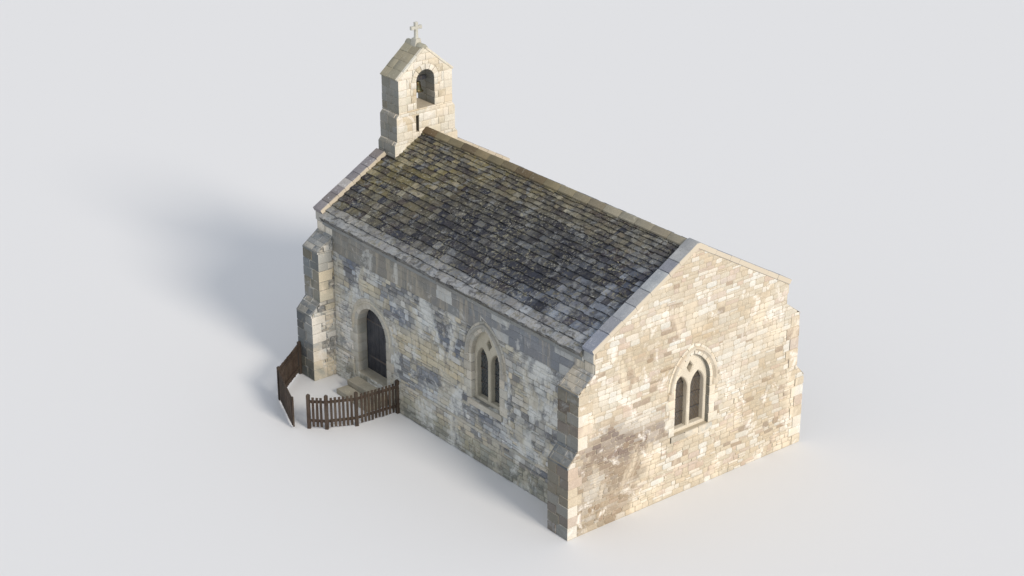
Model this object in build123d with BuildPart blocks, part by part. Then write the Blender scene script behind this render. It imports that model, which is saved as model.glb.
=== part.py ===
from build123d import *
from math import atan2, cos, degrees, hypot, radians, sin, sqrt, tan
import os

# A small stone chapel: one cell, gabled, with corner buttresses, a bellcote on the west gable
# and a timber pen before its south door. Millimetres. X runs east along the ridge, Y north,
# Z up, and the origin is the middle of the plan at ground level.
length = 12000
width = 6600
wall = 750
wall_top = 4740  # where the outer wall face meets the underside of the slates
roof_pitch = 29.5
floor_level = 500

# Slates, laid in courses that get shorter towards the ridge
slate_bed = 120
slate_lap = 28
eaves_overhang = 100
eaves_exposure = 290
ridge_exposure = 140
course_count = 20
ridge_leg = 175
ridge_thick = 65
ridge_stone_length = 600
mortar_gap = 4

# Gable copings and the corbels under their feet
coping_width = 380
coping_rise = 140  # above the slates
coping_depth = 165
coping_overhang = 50
coping_lip = 25
kneeler_drop = 260

# Eaves course and plinth on the long walls
eaves_depth = 70
eaves_height = 150
plinth_depth = 40
plinth_height = 950

# Corner buttresses in two stages, flush with the gables
buttress_width = 750
lower_projection = 800
lower_height = 2050
lower_weathering = 350
upper_projection = 500
upper_weathering = 380
buttress_gap = 260  # from the top weathering to the kneeler above it
drip = 30
drip_height = 60

# Two-light windows with a pointed head
window_half = 600
window_sill = 1750
window_spring = 3050
window_rise = 850
window_recess = 120
rear_arch_step = 100
window_from_east = 4280
tracery_depth = 160
tracery_border = 75
mullion_width = 120
light_rise = 390
light_spring = 2900
light_chamfer = 25
eyelet_width = 210
eyelet_height = 330
eyelet_z = 3480
glass_thick = 12
hood_gap = 90
hood_band = 110
hood_depth = 80
hood_foot = 3000
label_size = 170

# South door
door_from_west = 2550
door_half = 700
door_spring = 1950
door_rise = 720
door_recess = 320
rear_half = 850
rear_head = 2800
leaf_cover = 60
leaf_thick = 70
leaf_gap = 6
sill_gap = 8
strap_heights = (950, 2060)
strap_high = 55
strap_thick = 8
strap_inset = 25
strap_reach = 1180
door_pivot_side = 100  # from the edge of the clear opening to the pin
door_pivot_back = 94  # from the leaf's outer face to the pin
door_ring_radius = 60
door_ring_bar = 7
door_ring_inset = 200
door_ring_z = 1400
door_hood_gap = 130
door_hood_band = 90
door_hood_depth = 45
door_hood_drop = 120
step_tread = 375
step_rise = 170
step_half = 750

# Hinge pins and the eyes that turn on them
pin_radius = 10
pin_play = 0.3
eye_wall = 9
eye_height = 90
pin_arm = 24
arm_thick = 14
arm_lip = 4  # past the pin

# Bellcote
cote_depth = 800
cote_base_half = 1100
cote_mid_half = 1020
cote_top_half = 935
cote_first_offset = 6500
cote_second_offset = 7300
offset_rise = 100
cote_sill = 7450
bell_sides = 24
bell_half = 320
cote_spring = 8250
cote_arch_rise = 320
cote_eaves = 8400
cote_apex = 9180
cote_roof_thick = 70
cote_roof_overhang = 20
niche_half = 175
niche_spring = 7920
niche_depth = 90
slot_y = -300
slot_width = 100
slot_bottom = 6770
slot_top = 7260
slot_depth = 220
cross_height = 470
cross_arm = 185
cross_bar = 105
saddle_half = 120
saddle_height = 110

# Bell, hung from a headstock whose pins turn in the piers
bell_pivot_z = 8200
headstock_half = 290
headstock_wide = 90
headstock_high = 110
gudgeon_radius = 12
gudgeon_seat = 60
bell_neck = 22
bell_crown_radius = 62
bell_shoulder_radius = 98
bell_waist_radius = 120
bell_mouth_radius = 180
bell_height = 295
bell_wall = 18
bell_shoulder_drop = 40
bell_flare = 95
clapper_rod = 8
clapper_ball = 28

# Timber pen: rails, pales and a gate between posts. Each post and the gate's free end is placed
# east of the door's middle and south of the wall face.
wall_post_east = 1300
side_post_reach = (1200, 1400)
corner_post_reach = (850, 2150)
latch_post_reach = (500, 2500)
hinge_post_reach = (-1450, 2200)
gate_end_reach = (282, 2851)
end_post_inset = 70  # from the west face of the buttress that it stands against
post_size = 100
post_height = 1050
post_point = 40
rail_heights = (200, 780)
rail_high = 75
rail_thick = 45
pale_width = 70
pale_thick = 22
pale_pitch = 112
pale_top = 960
ground_gap = 60
gate_stile = 70
gate_pivot_reach = 70
gate_clear = 30  # from the pin to the hanging stile

os.makedirs("parts", exist_ok=True)

half_length = length / 2
half_width = width / 2
slope = tan(radians(roof_pitch))
room_x = half_length - wall
room_y = half_width - wall
roof_x = half_length + coping_lip - coping_width - coping_lip  # where slates meet the coping
door_x = -half_length + door_from_west
south_window_x = half_length - window_from_east
ridge_under = wall_top + half_width * slope
slate_vertical = (slate_bed + slate_lap) / cos(radians(roof_pitch))
coping_top_ridge = ridge_under + slate_vertical + coping_rise
coping_under_ridge = coping_top_ridge - coping_depth
cote_seat = ridge_under - cote_base_half * slope
cote_east = -half_length + cote_depth
cote_mid_x = -half_length + cote_depth / 2
cote_slope = (cote_apex - cote_eaves) / cote_top_half
door_front = -half_width + door_recess + leaf_gap
door_back = door_front + leaf_thick
door_pivot = (door_x - door_half - door_pivot_side, door_front + door_pivot_back)
eye_radius = pin_radius + pin_play + eye_wall
kneeler_outer = half_width + coping_overhang
kneeler_top = coping_under_ridge - half_width * slope
kneeler_foot = kneeler_top - kneeler_drop - coping_overhang
upper_height = kneeler_foot - buttress_gap - upper_weathering

south_face = Plane(origin=(south_window_x, -half_width, 0), x_dir=(1, 0, 0), z_dir=(0, -1, 0))
north_face = Plane(origin=(south_window_x, half_width, 0), x_dir=(-1, 0, 0), z_dir=(0, 1, 0))
east_face = Plane(origin=(half_length, 0, 0), x_dir=(0, 1, 0), z_dir=(1, 0, 0))
door_face = Plane(origin=(door_x, -half_width, 0), x_dir=(1, 0, 0), z_dir=(0, -1, 0))


def keep_part(piece, name):
    """Label a finished piece and write it."""
    piece.label = name
    export_step(piece, f"parts/{name}.step")


def outline(plane, points):
    """A closed straight-sided face on a plane."""
    with BuildSketch(plane) as face:
        with BuildLine():
            Polyline(*points, close=True)
        make_face()
    return face.sketch


def pointed(plane, half, spring, rise, foot, grow=0, centre=0):
    """A pointed arch over two jambs; grow moves its whole outline outwards."""
    radius = (half * half + rise * rise) / (2 * half)
    back = radius - half
    reach = radius + grow
    top = sqrt(reach * reach - back * back)
    sweep_angle = degrees(atan2(top, back))
    side = half + grow
    with BuildSketch(plane) as face:
        with BuildLine():
            Line((centre - side, foot), (centre + side, foot))
            Line((centre + side, foot), (centre + side, spring))
            CenterArc((centre - back, spring), reach, 0, sweep_angle)
            CenterArc((centre + back, spring), reach, 180 - sweep_angle, sweep_angle)
            Line((centre - side, spring), (centre - side, foot))
        make_face()
    return face.sketch


def window_plane(face, depth):
    """The face plane moved into the wall."""
    return face.offset(-depth)


def window_cut(face):
    """The hole for a window: the outer arch as far as the tracery's back, then the wider rear arch."""
    back = window_recess + tracery_depth
    with BuildPart() as hole:
        extrude(pointed(face, window_half, window_spring, window_rise, window_sill), amount=-back)
        extrude(
            pointed(
                window_plane(face, back), window_half, window_spring, window_rise,
                window_sill - rear_arch_step, rear_arch_step,
            ),
            amount=back - wall,
        )
    return hole.part


# Floor: flags on a solid bed, level with the door sill
with BuildPart() as floor_slab:
    with BuildSketch():
        Rectangle(2 * room_x, 2 * room_y)
    extrude(amount=floor_level)
keep_part(floor_slab.part, "floor_slab")

# Long walls, whose tops follow the slates
wall_section = [
    (-half_width, 0), (-room_y, 0), (-room_y, wall_top + wall * slope), (-half_width, wall_top),
]
over_door_section = [
    (-half_width, rear_head), (-room_y, rear_head),
    (-room_y, wall_top + wall * slope), (-half_width, wall_top),
]
door_west = door_x - rear_half
door_east = door_x + rear_half

with BuildPart() as south_wall_west:
    extrude(outline(Plane.YZ.offset(-room_x), wall_section), amount=door_west + room_x)
keep_part(south_wall_west.part, "south_wall_west")

with BuildPart() as south_wall_over_door:
    extrude(outline(Plane.YZ.offset(door_west), over_door_section), amount=2 * rear_half)
keep_part(south_wall_over_door.part, "south_wall_over_door")

with BuildPart() as south_wall_east:
    extrude(outline(Plane.YZ.offset(door_east), wall_section), amount=room_x - door_east)
    add(window_cut(south_face), mode=Mode.SUBTRACT)
keep_part(south_wall_east.part, "south_wall_east")

with BuildPart() as north_wall:
    extrude(outline(Plane.YZ.offset(-room_x), wall_section), amount=2 * room_x)
    mirror(about=Plane.XZ, mode=Mode.REPLACE)
    add(window_cut(north_face), mode=Mode.SUBTRACT)
keep_part(north_wall.part, "north_wall")


def gable_section(ridge):
    """The gable's outline under a roof plane that reaches this height at the ridge."""
    eaves = ridge - half_width * slope
    return [(-half_width, 0), (half_width, 0), (half_width, eaves), (0, ridge), (-half_width, eaves)]


# Gable walls: the inner part carries the slates and the outer part stands up to the coping
with BuildPart() as east_gable_wall:
    extrude(outline(Plane.YZ.offset(room_x), gable_section(ridge_under)), amount=wall)
    extrude(
        outline(Plane.YZ.offset(roof_x), gable_section(coping_under_ridge)),
        amount=half_length - roof_x,
    )
    add(window_cut(east_face), mode=Mode.SUBTRACT)
keep_part(east_gable_wall.part, "east_gable_wall")

with BuildPart() as west_gable_wall:
    extrude(outline(Plane.YZ.offset(-half_length), gable_section(ridge_under)), amount=wall)
    extrude(
        outline(Plane.YZ.offset(-half_length), gable_section(coping_under_ridge)),
        amount=half_length - roof_x,
    )
    with BuildSketch(Plane.XY.offset(cote_seat)):
        with Locations((cote_mid_x, 0)):
            Rectangle(3 * cote_depth, 2 * cote_base_half)
    extrude(amount=2 * cote_base_half, mode=Mode.SUBTRACT)
keep_part(west_gable_wall.part, "west_gable_wall")

# Buttresses: two stages, each shed by a weathering with a drip
lower_face = half_width + lower_projection
upper_face = half_width + upper_projection
buttress_section = [
    (-half_width, 0), (-lower_face, 0), (-lower_face, lower_height - drip_height),
    (-lower_face - drip, lower_height - drip_height), (-lower_face - drip, lower_height),
    (-upper_face, lower_height + lower_weathering), (-upper_face, upper_height - drip_height),
    (-upper_face - drip, upper_height - drip_height), (-upper_face - drip, upper_height),
    (-half_width, upper_height + upper_weathering),
]
for north_south in ("south", "north"):
    for east_west, start in (("east", half_length - buttress_width), ("west", -half_length)):
        with BuildPart() as buttress:
            extrude(outline(Plane.YZ.offset(start), buttress_section), amount=buttress_width)
            if north_south == "north":
                mirror(about=Plane.XZ, mode=Mode.REPLACE)
        keep_part(buttress.part, f"buttress_{north_south}{east_west}")

# Plinth and eaves courses on the long walls
plinth_section = [
    (-half_width, 0), (-half_width - plinth_depth, 0),
    (-half_width - plinth_depth, plinth_height - plinth_depth), (-half_width, plinth_height),
]
inner_bay = half_length - buttress_width
with BuildPart() as plinth_courses:
    extrude(outline(Plane.YZ.offset(-inner_bay), plinth_section), amount=2 * inner_bay)
    mirror(about=Plane.XZ)
    with BuildSketch(door_face.offset(-plinth_depth)):
        with Locations((0, plinth_height / 2)):
            Rectangle(2 * rear_half, 2 * plinth_height)
    extrude(amount=2 * wall, mode=Mode.SUBTRACT)
keep_part(plinth_courses.part, "plinth_courses")

eaves_drop = eaves_depth * slope
eaves_section = [
    (-half_width, wall_top - eaves_height - eaves_depth),
    (-half_width - eaves_depth, wall_top - eaves_height),
    (-half_width - eaves_depth, wall_top - eaves_drop), (-half_width, wall_top),
]
with BuildPart() as eaves_courses:
    extrude(outline(Plane.YZ.offset(-roof_x), eaves_section), amount=2 * roof_x)
    mirror(about=Plane.XZ)
keep_part(eaves_courses.part, "eaves_courses")


def slate_section():
    """Saw-toothed top of the slates, from the eaves up the slope, over a flat bed."""
    run = (half_width + eaves_overhang) / cos(radians(roof_pitch))
    shares = [
        eaves_exposure + (ridge_exposure - eaves_exposure) * course / (course_count - 1)
        for course in range(course_count)
    ]
    points = [(0, 0)]
    reach = 0
    for share in shares[:-1]:
        points.append((reach, slate_bed + slate_lap))
        reach += share * run / sum(shares)
        points.append((reach, slate_bed))
    points.append((reach, slate_bed + slate_lap))
    points.append((1.1 * run, slate_bed + slate_lap))
    points.append((1.1 * run, 0))
    return points


# Slated slopes, cut round the foot of the bellcote
eaves_under = wall_top - eaves_overhang * slope
slope_plane = Plane(
    origin=(-roof_x, -half_width - eaves_overhang, eaves_under),
    x_dir=(0, cos(radians(roof_pitch)), sin(radians(roof_pitch))),
    z_dir=(1, 0, 0),
)
with BuildPart() as roof_slope_south:
    extrude(outline(slope_plane, slate_section()), amount=2 * roof_x)
    split(bisect_by=Plane.XZ, keep=Keep.TOP)
    with BuildSketch(Plane.XY):
        with Locations((cote_mid_x, 0)):
            Rectangle(cote_depth, 2 * cote_base_half)
    extrude(amount=2 * ridge_under, mode=Mode.SUBTRACT)
keep_part(roof_slope_south.part, "roof_slope_south")

with BuildPart() as roof_slope_north:
    add(roof_slope_south.part)
    mirror(about=Plane.XZ, mode=Mode.REPLACE)
keep_part(roof_slope_north.part, "roof_slope_north")

# Ridge stones, astride the top courses
ridge_seat = ridge_under + slate_vertical
leg_run = ridge_leg * cos(radians(roof_pitch))
stone_vertical = ridge_thick / cos(radians(roof_pitch))
ridge_section = [
    (0, ridge_seat), (leg_run, ridge_seat - leg_run * slope),
    (leg_run, ridge_seat - leg_run * slope + stone_vertical * 0.8), (0, ridge_seat + stone_vertical),
    (-leg_run, ridge_seat - leg_run * slope + stone_vertical * 0.8),
    (-leg_run, ridge_seat - leg_run * slope),
]
ridge_length = roof_x - cote_east
stone_count = round(ridge_length / ridge_stone_length)
stone_pitch = ridge_length / stone_count
with BuildPart() as ridge_stones:
    for number in range(stone_count):
        stone_start = cote_east + number * stone_pitch + mortar_gap
        extrude(
            outline(Plane.YZ.offset(stone_start), ridge_section), amount=stone_pitch - mortar_gap
        )
keep_part(ridge_stones.part, "ridge_stones")


def coping_side(inner):
    """One raking coping, from a distance beside the ridge down past the wall's corner."""
    outer = half_width + coping_overhang
    return [
        (-inner, coping_under_ridge - inner * slope), (-outer, coping_under_ridge - outer * slope),
        (-outer, coping_top_ridge - outer * slope), (-inner, coping_top_ridge - inner * slope),
    ]


# Copings on the gables
coping_full = coping_width + coping_lip
with BuildPart() as coping_east:
    extrude(outline(Plane.YZ.offset(roof_x), coping_side(0)), amount=coping_full)
    mirror(about=Plane.XZ)
keep_part(coping_east.part, "coping_east")

with BuildPart() as coping_west_south:
    extrude(
        outline(Plane.YZ.offset(-roof_x - coping_full), coping_side(cote_base_half)),
        amount=coping_full,
    )
keep_part(coping_west_south.part, "coping_west_south")

with BuildPart() as coping_west_north:
    add(coping_west_south.part)
    mirror(about=Plane.XZ, mode=Mode.REPLACE)
keep_part(coping_west_north.part, "coping_west_north")

# Kneelers: corbels under the feet of the copings
kneeler_section = [
    (-half_width, kneeler_foot),
    (-kneeler_outer, kneeler_top - kneeler_drop),
    (-kneeler_outer, coping_under_ridge - kneeler_outer * slope), (-half_width, kneeler_top),
]
with BuildPart() as kneelers:
    for start in (roof_x, -half_length):
        extrude(outline(Plane.YZ.offset(start), kneeler_section), amount=coping_width)
    mirror(about=Plane.XZ)
keep_part(kneelers.part, "kneelers")

# Bellcote, from its base upwards
base_side = [
    (cote_base_half, cote_seat), (cote_base_half, cote_first_offset),
    (cote_mid_half, cote_first_offset + offset_rise), (cote_mid_half, cote_second_offset),
    (cote_top_half, cote_second_offset + offset_rise), (cote_top_half, cote_sill),
]
base_section = base_side + [(-y, z) for y, z in reversed(base_side)]
cote_plane = Plane.YZ.offset(-half_length)
cote_east_plane = Plane.YZ.offset(cote_east)
with BuildPart() as bellcote_base:
    extrude(outline(cote_plane, base_section), amount=cote_depth)
    with BuildSketch(cote_east_plane):
        with Locations((slot_y, (slot_bottom + slot_top) / 2)):
            Rectangle(slot_width, slot_top - slot_bottom)
    extrude(amount=-slot_depth, mode=Mode.SUBTRACT)
keep_part(bellcote_base.part, "bellcote_base")

niche_plane = Plane(origin=(cote_mid_x, -cote_top_half, 0), x_dir=(1, 0, 0), z_dir=(0, -1, 0))
with BuildPart() as bellcote_piers:
    with BuildSketch(Plane.XY.offset(cote_sill)):
        with Locations((cote_mid_x, -(cote_top_half + bell_half) / 2)):
            Rectangle(cote_depth, cote_top_half - bell_half)
    extrude(amount=cote_spring - cote_sill)
    extrude(
        pointed(niche_plane, niche_half, niche_spring, niche_half, cote_sill),
        amount=-niche_depth, mode=Mode.SUBTRACT,
    )
    with BuildSketch(Plane.XZ.offset(bell_half)):
        with Locations((cote_mid_x, bell_pivot_z)):
            Circle(gudgeon_radius + pin_play)
    extrude(amount=gudgeon_seat, mode=Mode.SUBTRACT)
    mirror(about=Plane.XZ)
keep_part(bellcote_piers.part, "bellcote_piers")

head_section = [
    (-cote_top_half, cote_spring), (cote_top_half, cote_spring), (cote_top_half, cote_eaves),
    (0, cote_apex), (-cote_top_half, cote_eaves),
]
with BuildPart() as bellcote_arch_head:
    extrude(outline(cote_plane, head_section), amount=cote_depth)
    extrude(
        pointed(cote_plane, bell_half, cote_spring, cote_arch_rise, cote_sill),
        amount=cote_depth, mode=Mode.SUBTRACT,
    )
keep_part(bellcote_arch_head.part, "bellcote_arch_head")

cote_roof_vertical = cote_roof_thick * hypot(1, cote_slope)
cote_roof_edge = cote_top_half + cote_roof_overhang
cote_top = cote_apex + cote_roof_vertical
roof_side = [
    (cote_roof_edge, cote_apex - cote_roof_edge * cote_slope),
    (cote_roof_edge, cote_top - cote_roof_edge * cote_slope),
]
cote_roof_section = [(0, cote_apex), *roof_side, (0, cote_top), *[(-y, z) for y, z in reversed(roof_side)]]
with BuildPart() as bellcote_roof:
    extrude(
        outline(cote_plane.offset(-cote_roof_overhang), cote_roof_section),
        amount=cote_depth + 2 * cote_roof_overhang,
    )
keep_part(bellcote_roof.part, "bellcote_roof")

# Cross on a saddle stone astride the bellcote's ridge
saddle_foot = cote_top - saddle_half * cote_slope
saddle_top = cote_top + saddle_height
cross_arm_z = saddle_top + 0.66 * cross_height
saddle_section = [
    (0, cote_top), (saddle_half, saddle_foot), (0.6 * saddle_half, saddle_top),
    (-0.6 * saddle_half, saddle_top), (-saddle_half, saddle_foot),
]
cross_plane = Plane.YZ.offset(cote_mid_x)
with BuildPart() as bellcote_cross:
    extrude(outline(cross_plane, saddle_section), amount=saddle_half, both=True)
    with BuildSketch(cross_plane):
        with Locations((0, saddle_top + cross_height / 2)):
            Rectangle(cross_bar, cross_height)
        with Locations((0, cross_arm_z)):
            Rectangle(2 * cross_arm, cross_bar)
    extrude(amount=cross_bar / 2, both=True)
keep_part(bellcote_cross.part, "bellcote_cross")

# Bell: crown, shoulder, waist and flared mouth, in flats around its own axis
bell_axis = Plane(origin=(cote_mid_x, 0, bell_pivot_z), x_dir=(1, 0, 0), z_dir=(0, -1, 0))
bell_crown = -headstock_high / 2 - bell_neck
bell_mouth = bell_crown - bell_height
waist_z = bell_mouth + bell_flare
bell_outside = [
    (bell_mouth_radius, bell_mouth), (bell_waist_radius, waist_z),
    (bell_shoulder_radius, bell_crown - bell_shoulder_drop), (bell_crown_radius, bell_crown),
]
bell_inside = [
    (bell_mouth_radius - bell_wall, bell_mouth), (bell_waist_radius - bell_wall, waist_z),
    (bell_crown_radius - bell_wall, bell_crown - bell_wall),
]


def in_flats(profile):
    """A turned form in narrow flats: its full profile cut from evenly spaced sides."""
    section = profile + [(-radius, height) for radius, height in reversed(profile)]
    with BuildPart() as form:
        for turn in range(bell_sides // 2):
            side = bell_axis.rotated((0, 0, 360 / bell_sides * turn)).offset(-bell_mouth_radius)
            mode = Mode.INTERSECT if turn else Mode.ADD
            extrude(outline(side, section), amount=2 * bell_mouth_radius, mode=mode)
    return form.part


with BuildPart() as bell:
    add(in_flats(bell_outside))
    add(in_flats(bell_inside), mode=Mode.SUBTRACT)
    with BuildSketch(Plane.XY.offset(bell_pivot_z + bell_crown)):
        with Locations((cote_mid_x, 0)):
            Rectangle(headstock_wide * 0.7, 1.4 * bell_crown_radius)
    extrude(amount=bell_neck)
keep_part(bell.part, "bell")

with BuildPart() as bell_headstock:
    with BuildSketch(Plane.XZ.offset(-headstock_half)):
        with Locations((cote_mid_x, bell_pivot_z)):
            Rectangle(headstock_wide, headstock_high)
    extrude(amount=2 * headstock_half)
    with BuildSketch(Plane.XZ.offset(-bell_half - gudgeon_seat + pin_play)):
        with Locations((cote_mid_x, bell_pivot_z)):
            Circle(gudgeon_radius)
    extrude(amount=2 * (bell_half + gudgeon_seat - pin_play))
keep_part(bell_headstock.part, "bell_headstock")

clapper_top = bell_pivot_z + bell_crown - bell_wall
clapper_ball_z = bell_pivot_z + bell_mouth + 15
with BuildPart() as bell_clapper:
    with BuildSketch(Plane.XY.offset(clapper_ball_z - clapper_ball)):
        with Locations((cote_mid_x, 0)):
            Circle(clapper_rod)
    extrude(amount=clapper_top - clapper_ball_z + clapper_ball)
    with BuildSketch(Plane.XY.offset(clapper_ball_z - 0.6 * clapper_ball)):
        with Locations((cote_mid_x, 0)):
            Circle(clapper_ball)
    extrude(amount=1.2 * clapper_ball)
keep_part(bell_clapper.part, "bell_clapper")

# Door surround: an arched stone frame in the outer part of the wall
with BuildPart() as door_surround:
    with BuildSketch(door_face):
        with Locations((0, (floor_level + rear_head) / 2)):
            Rectangle(2 * rear_half, rear_head - floor_level)
    extrude(amount=-door_recess)
    extrude(
        pointed(door_face, door_half, door_spring, door_rise, floor_level),
        amount=-door_recess, mode=Mode.SUBTRACT,
    )
keep_part(door_surround.part, "door_surround")

with BuildPart() as door_sill:
    with BuildSketch(door_face):
        with Locations((0, floor_level / 2)):
            Rectangle(2 * rear_half, floor_level)
    extrude(amount=-wall)
keep_part(door_sill.part, "door_sill")

step_section = [
    (-half_width, 0), (-half_width - 2 * step_tread, 0), (-half_width - 2 * step_tread, step_rise),
    (-half_width - step_tread, step_rise), (-half_width - step_tread, 2 * step_rise),
    (-half_width, 2 * step_rise),
]
with BuildPart() as door_steps:
    extrude(outline(Plane.YZ.offset(door_x - step_half), step_section), amount=2 * step_half)
keep_part(door_steps.part, "door_steps")

# Hood moulds over the windows, ending in label stops, and the plainer one over the door
with BuildPart() as hood_moulds:
    for face in (south_face, north_face, east_face):
        extrude(
            pointed(face, window_half, window_spring, window_rise, hood_foot, hood_gap + hood_band),
            amount=hood_depth,
        )
        extrude(
            pointed(face, window_half, window_spring, window_rise, hood_foot - label_size, hood_gap),
            amount=hood_depth, mode=Mode.SUBTRACT,
        )
        with BuildSketch(face):
            with Locations(
                (window_half + hood_gap + label_size / 2, hood_foot - label_size / 2),
                (-window_half - hood_gap - label_size / 2, hood_foot - label_size / 2),
            ):
                Rectangle(label_size, label_size)
        extrude(amount=hood_depth)
    extrude(
        pointed(
            door_face, door_half, door_spring, door_rise, door_spring - door_hood_drop,
            door_hood_gap + door_hood_band,
        ),
        amount=door_hood_depth,
    )
    extrude(
        pointed(door_face, door_half, door_spring, door_rise, floor_level, door_hood_gap),
        amount=door_hood_depth, mode=Mode.SUBTRACT,
    )
keep_part(hood_moulds.part, "hood_moulds")

# Door leaf of upright boards with an arched head
leaf_plane = door_face.offset(-door_recess - leaf_gap)
leaf_foot = floor_level + sill_gap
with BuildPart() as door_leaf:
    extrude(
        pointed(leaf_plane, door_half, door_spring, door_rise, leaf_foot, leaf_cover),
        amount=-leaf_thick,
    )
keep_part(door_leaf.part, "door_leaf")

# Ironwork that turns with the leaf: outer straps, ring, and inner straps with their eyes
eye_plane_z = [height - eye_height / 2 for height in strap_heights]
with BuildPart() as door_ironwork:
    for height in strap_heights:
        with BuildSketch(leaf_plane):
            with Locations((-door_half + strap_inset + strap_reach / 2, height)):
                Rectangle(strap_reach, strap_high)
        extrude(amount=strap_thick)
        with BuildSketch(Plane.XY.offset(height - strap_high / 2)):
            with Locations((door_pivot[0] + strap_reach / 2, door_back + strap_thick / 2)):
                Rectangle(strap_reach, strap_thick)
        extrude(amount=strap_high)
    for bottom in eye_plane_z:
        with BuildSketch(Plane.XY.offset(bottom)):
            with Locations(door_pivot):
                Circle(eye_radius)
        extrude(amount=eye_height)
        with BuildSketch(Plane.XY.offset(bottom)):
            with Locations(door_pivot):
                Circle(pin_radius + pin_play)
        extrude(amount=eye_height, mode=Mode.SUBTRACT)
    with BuildSketch(leaf_plane):
        with Locations((door_half - door_ring_inset, door_ring_z)):
            Circle(door_ring_radius + door_ring_bar)
            Circle(door_ring_radius - door_ring_bar, mode=Mode.SUBTRACT)
    extrude(amount=strap_thick)
keep_part(door_ironwork.part, "door_ironwork")

# Window tracery and glass, one set for each window
light_half = (window_half - tracery_border - mullion_width / 2) / 2
light_centre = mullion_width / 2 + light_half
light_foot = window_sill + tracery_border


def light_outline(plane, centre, grow=0):
    """One light of a window; grow gives the outer edge of its chamfer."""
    return pointed(
        plane, light_half, light_spring, light_rise, light_foot - grow, grow, centre
    )


def eyelet_outline(plane, grow=0):
    """The diamond between the heads of the lights."""
    across = eyelet_width / 2 + grow
    up = eyelet_height / 2 + grow
    return outline(
        plane, [(0, eyelet_z - up), (across, eyelet_z), (0, eyelet_z + up), (-across, eyelet_z)]
    )


for name, face in (("south", south_face), ("north", north_face), ("east", east_face)):
    tracery_face = window_plane(face, window_recess)
    with BuildPart() as tracery:
        extrude(
            pointed(tracery_face, window_half, window_spring, window_rise, window_sill),
            amount=-tracery_depth,
        )
        for centre in (-light_centre, light_centre):
            extrude(light_outline(tracery_face, centre), amount=-tracery_depth, mode=Mode.SUBTRACT)
            loft(
                [
                    light_outline(tracery_face, centre, light_chamfer),
                    light_outline(window_plane(tracery_face, light_chamfer), centre),
                ],
                mode=Mode.SUBTRACT,
            )
        extrude(eyelet_outline(tracery_face), amount=-tracery_depth, mode=Mode.SUBTRACT)
        loft(
            [
                eyelet_outline(tracery_face, light_chamfer),
                eyelet_outline(window_plane(tracery_face, light_chamfer)),
            ],
            mode=Mode.SUBTRACT,
        )
    keep_part(tracery.part, f"{name}_window_tracery")

    with BuildPart() as glass:
        extrude(
            pointed(
                window_plane(face, window_recess + tracery_depth), window_half, window_spring,
                window_rise, window_sill + 2, -2,
            ),
            amount=-glass_thick,
        )
    keep_part(glass.part, f"{name}_window_glass")

# Pen: posts with weathered tops
wall_post = (door_x + wall_post_east, -(half_width + plinth_depth + post_size / 2))
end_post = (-half_length + end_post_inset, -(half_width + lower_projection + post_size / 2))
side_post, corner_post, latch_post, hinge_post, gate_end = [
    (door_x + east, -half_width - south)
    for east, south in (
        side_post_reach, corner_post_reach, latch_post_reach, hinge_post_reach, gate_end_reach
    )
]
runs = [(wall_post, side_post), (side_post, corner_post), (corner_post, latch_post)]
gate_run = hypot(gate_end[0] - hinge_post[0], gate_end[1] - hinge_post[1])
gate_plane = Plane(
    origin=(*hinge_post, 0),
    x_dir=(gate_end[0] - hinge_post[0], gate_end[1] - hinge_post[1], 0),
    z_dir=(0, 0, 1),
)


def run_plane(start, end):
    """Ground plane with its X along a run of fence and its Y to the left."""
    return Plane(origin=(*start, 0), x_dir=(end[0] - start[0], end[1] - start[1], 0), z_dir=(0, 0, 1))


def post_solid(plane):
    """A square post with a pointed top, standing at the plane's origin."""
    with BuildPart() as post:
        with BuildSketch(plane):
            Rectangle(post_size, post_size)
        extrude(amount=post_height - post_point)
        with BuildSketch(plane.offset(post_height - post_point)):
            Rectangle(post_size, post_size)
        extrude(amount=post_point, taper=45)
    return post.part


with BuildPart() as fence_posts:
    add(post_solid(Plane.XY.offset(0).move(Location((*wall_post, 0)))))
    for start, end in runs[1:]:
        add(post_solid(run_plane(start, end)))
    add(post_solid(run_plane(latch_post, corner_post)))
    add(post_solid(gate_plane))
    add(post_solid(Plane.XY.move(Location((*end_post, 0)))))
keep_part(fence_posts.part, "fence_posts")


def fence_run(start, end):
    """Two rails and a row of pales on their outer, left side, cut to fit the posts."""
    plane = run_plane(start, end)
    span = hypot(end[0] - start[0], end[1] - start[1])
    clear = span - 1.3 * post_size
    count = int((clear - pale_width) / pale_pitch) + 1
    first = (span - (count - 1) * pale_pitch) / 2
    with BuildPart() as run:
        for height in rail_heights:
            with BuildSketch(plane.offset(height)):
                with Locations((span / 2, 0)):
                    Rectangle(span, rail_thick)
            extrude(amount=rail_high)
        with BuildSketch(plane.offset(ground_gap)):
            with Locations(*[(first + number * pale_pitch, (rail_thick + pale_thick) / 2)
                             for number in range(count)]):
                Rectangle(pale_width, pale_thick)
        extrude(amount=pale_top - ground_gap)
        add(fence_posts.part, mode=Mode.SUBTRACT)
    return run.part


for name, start, end in (
    ("fence_panel_east", wall_post, side_post),
    ("fence_panel_southeast", side_post, corner_post),
    ("fence_panel_south", corner_post, latch_post),
    ("fence_panel_west", hinge_post, end_post),
):
    keep_part(fence_run(start, end), name)

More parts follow.
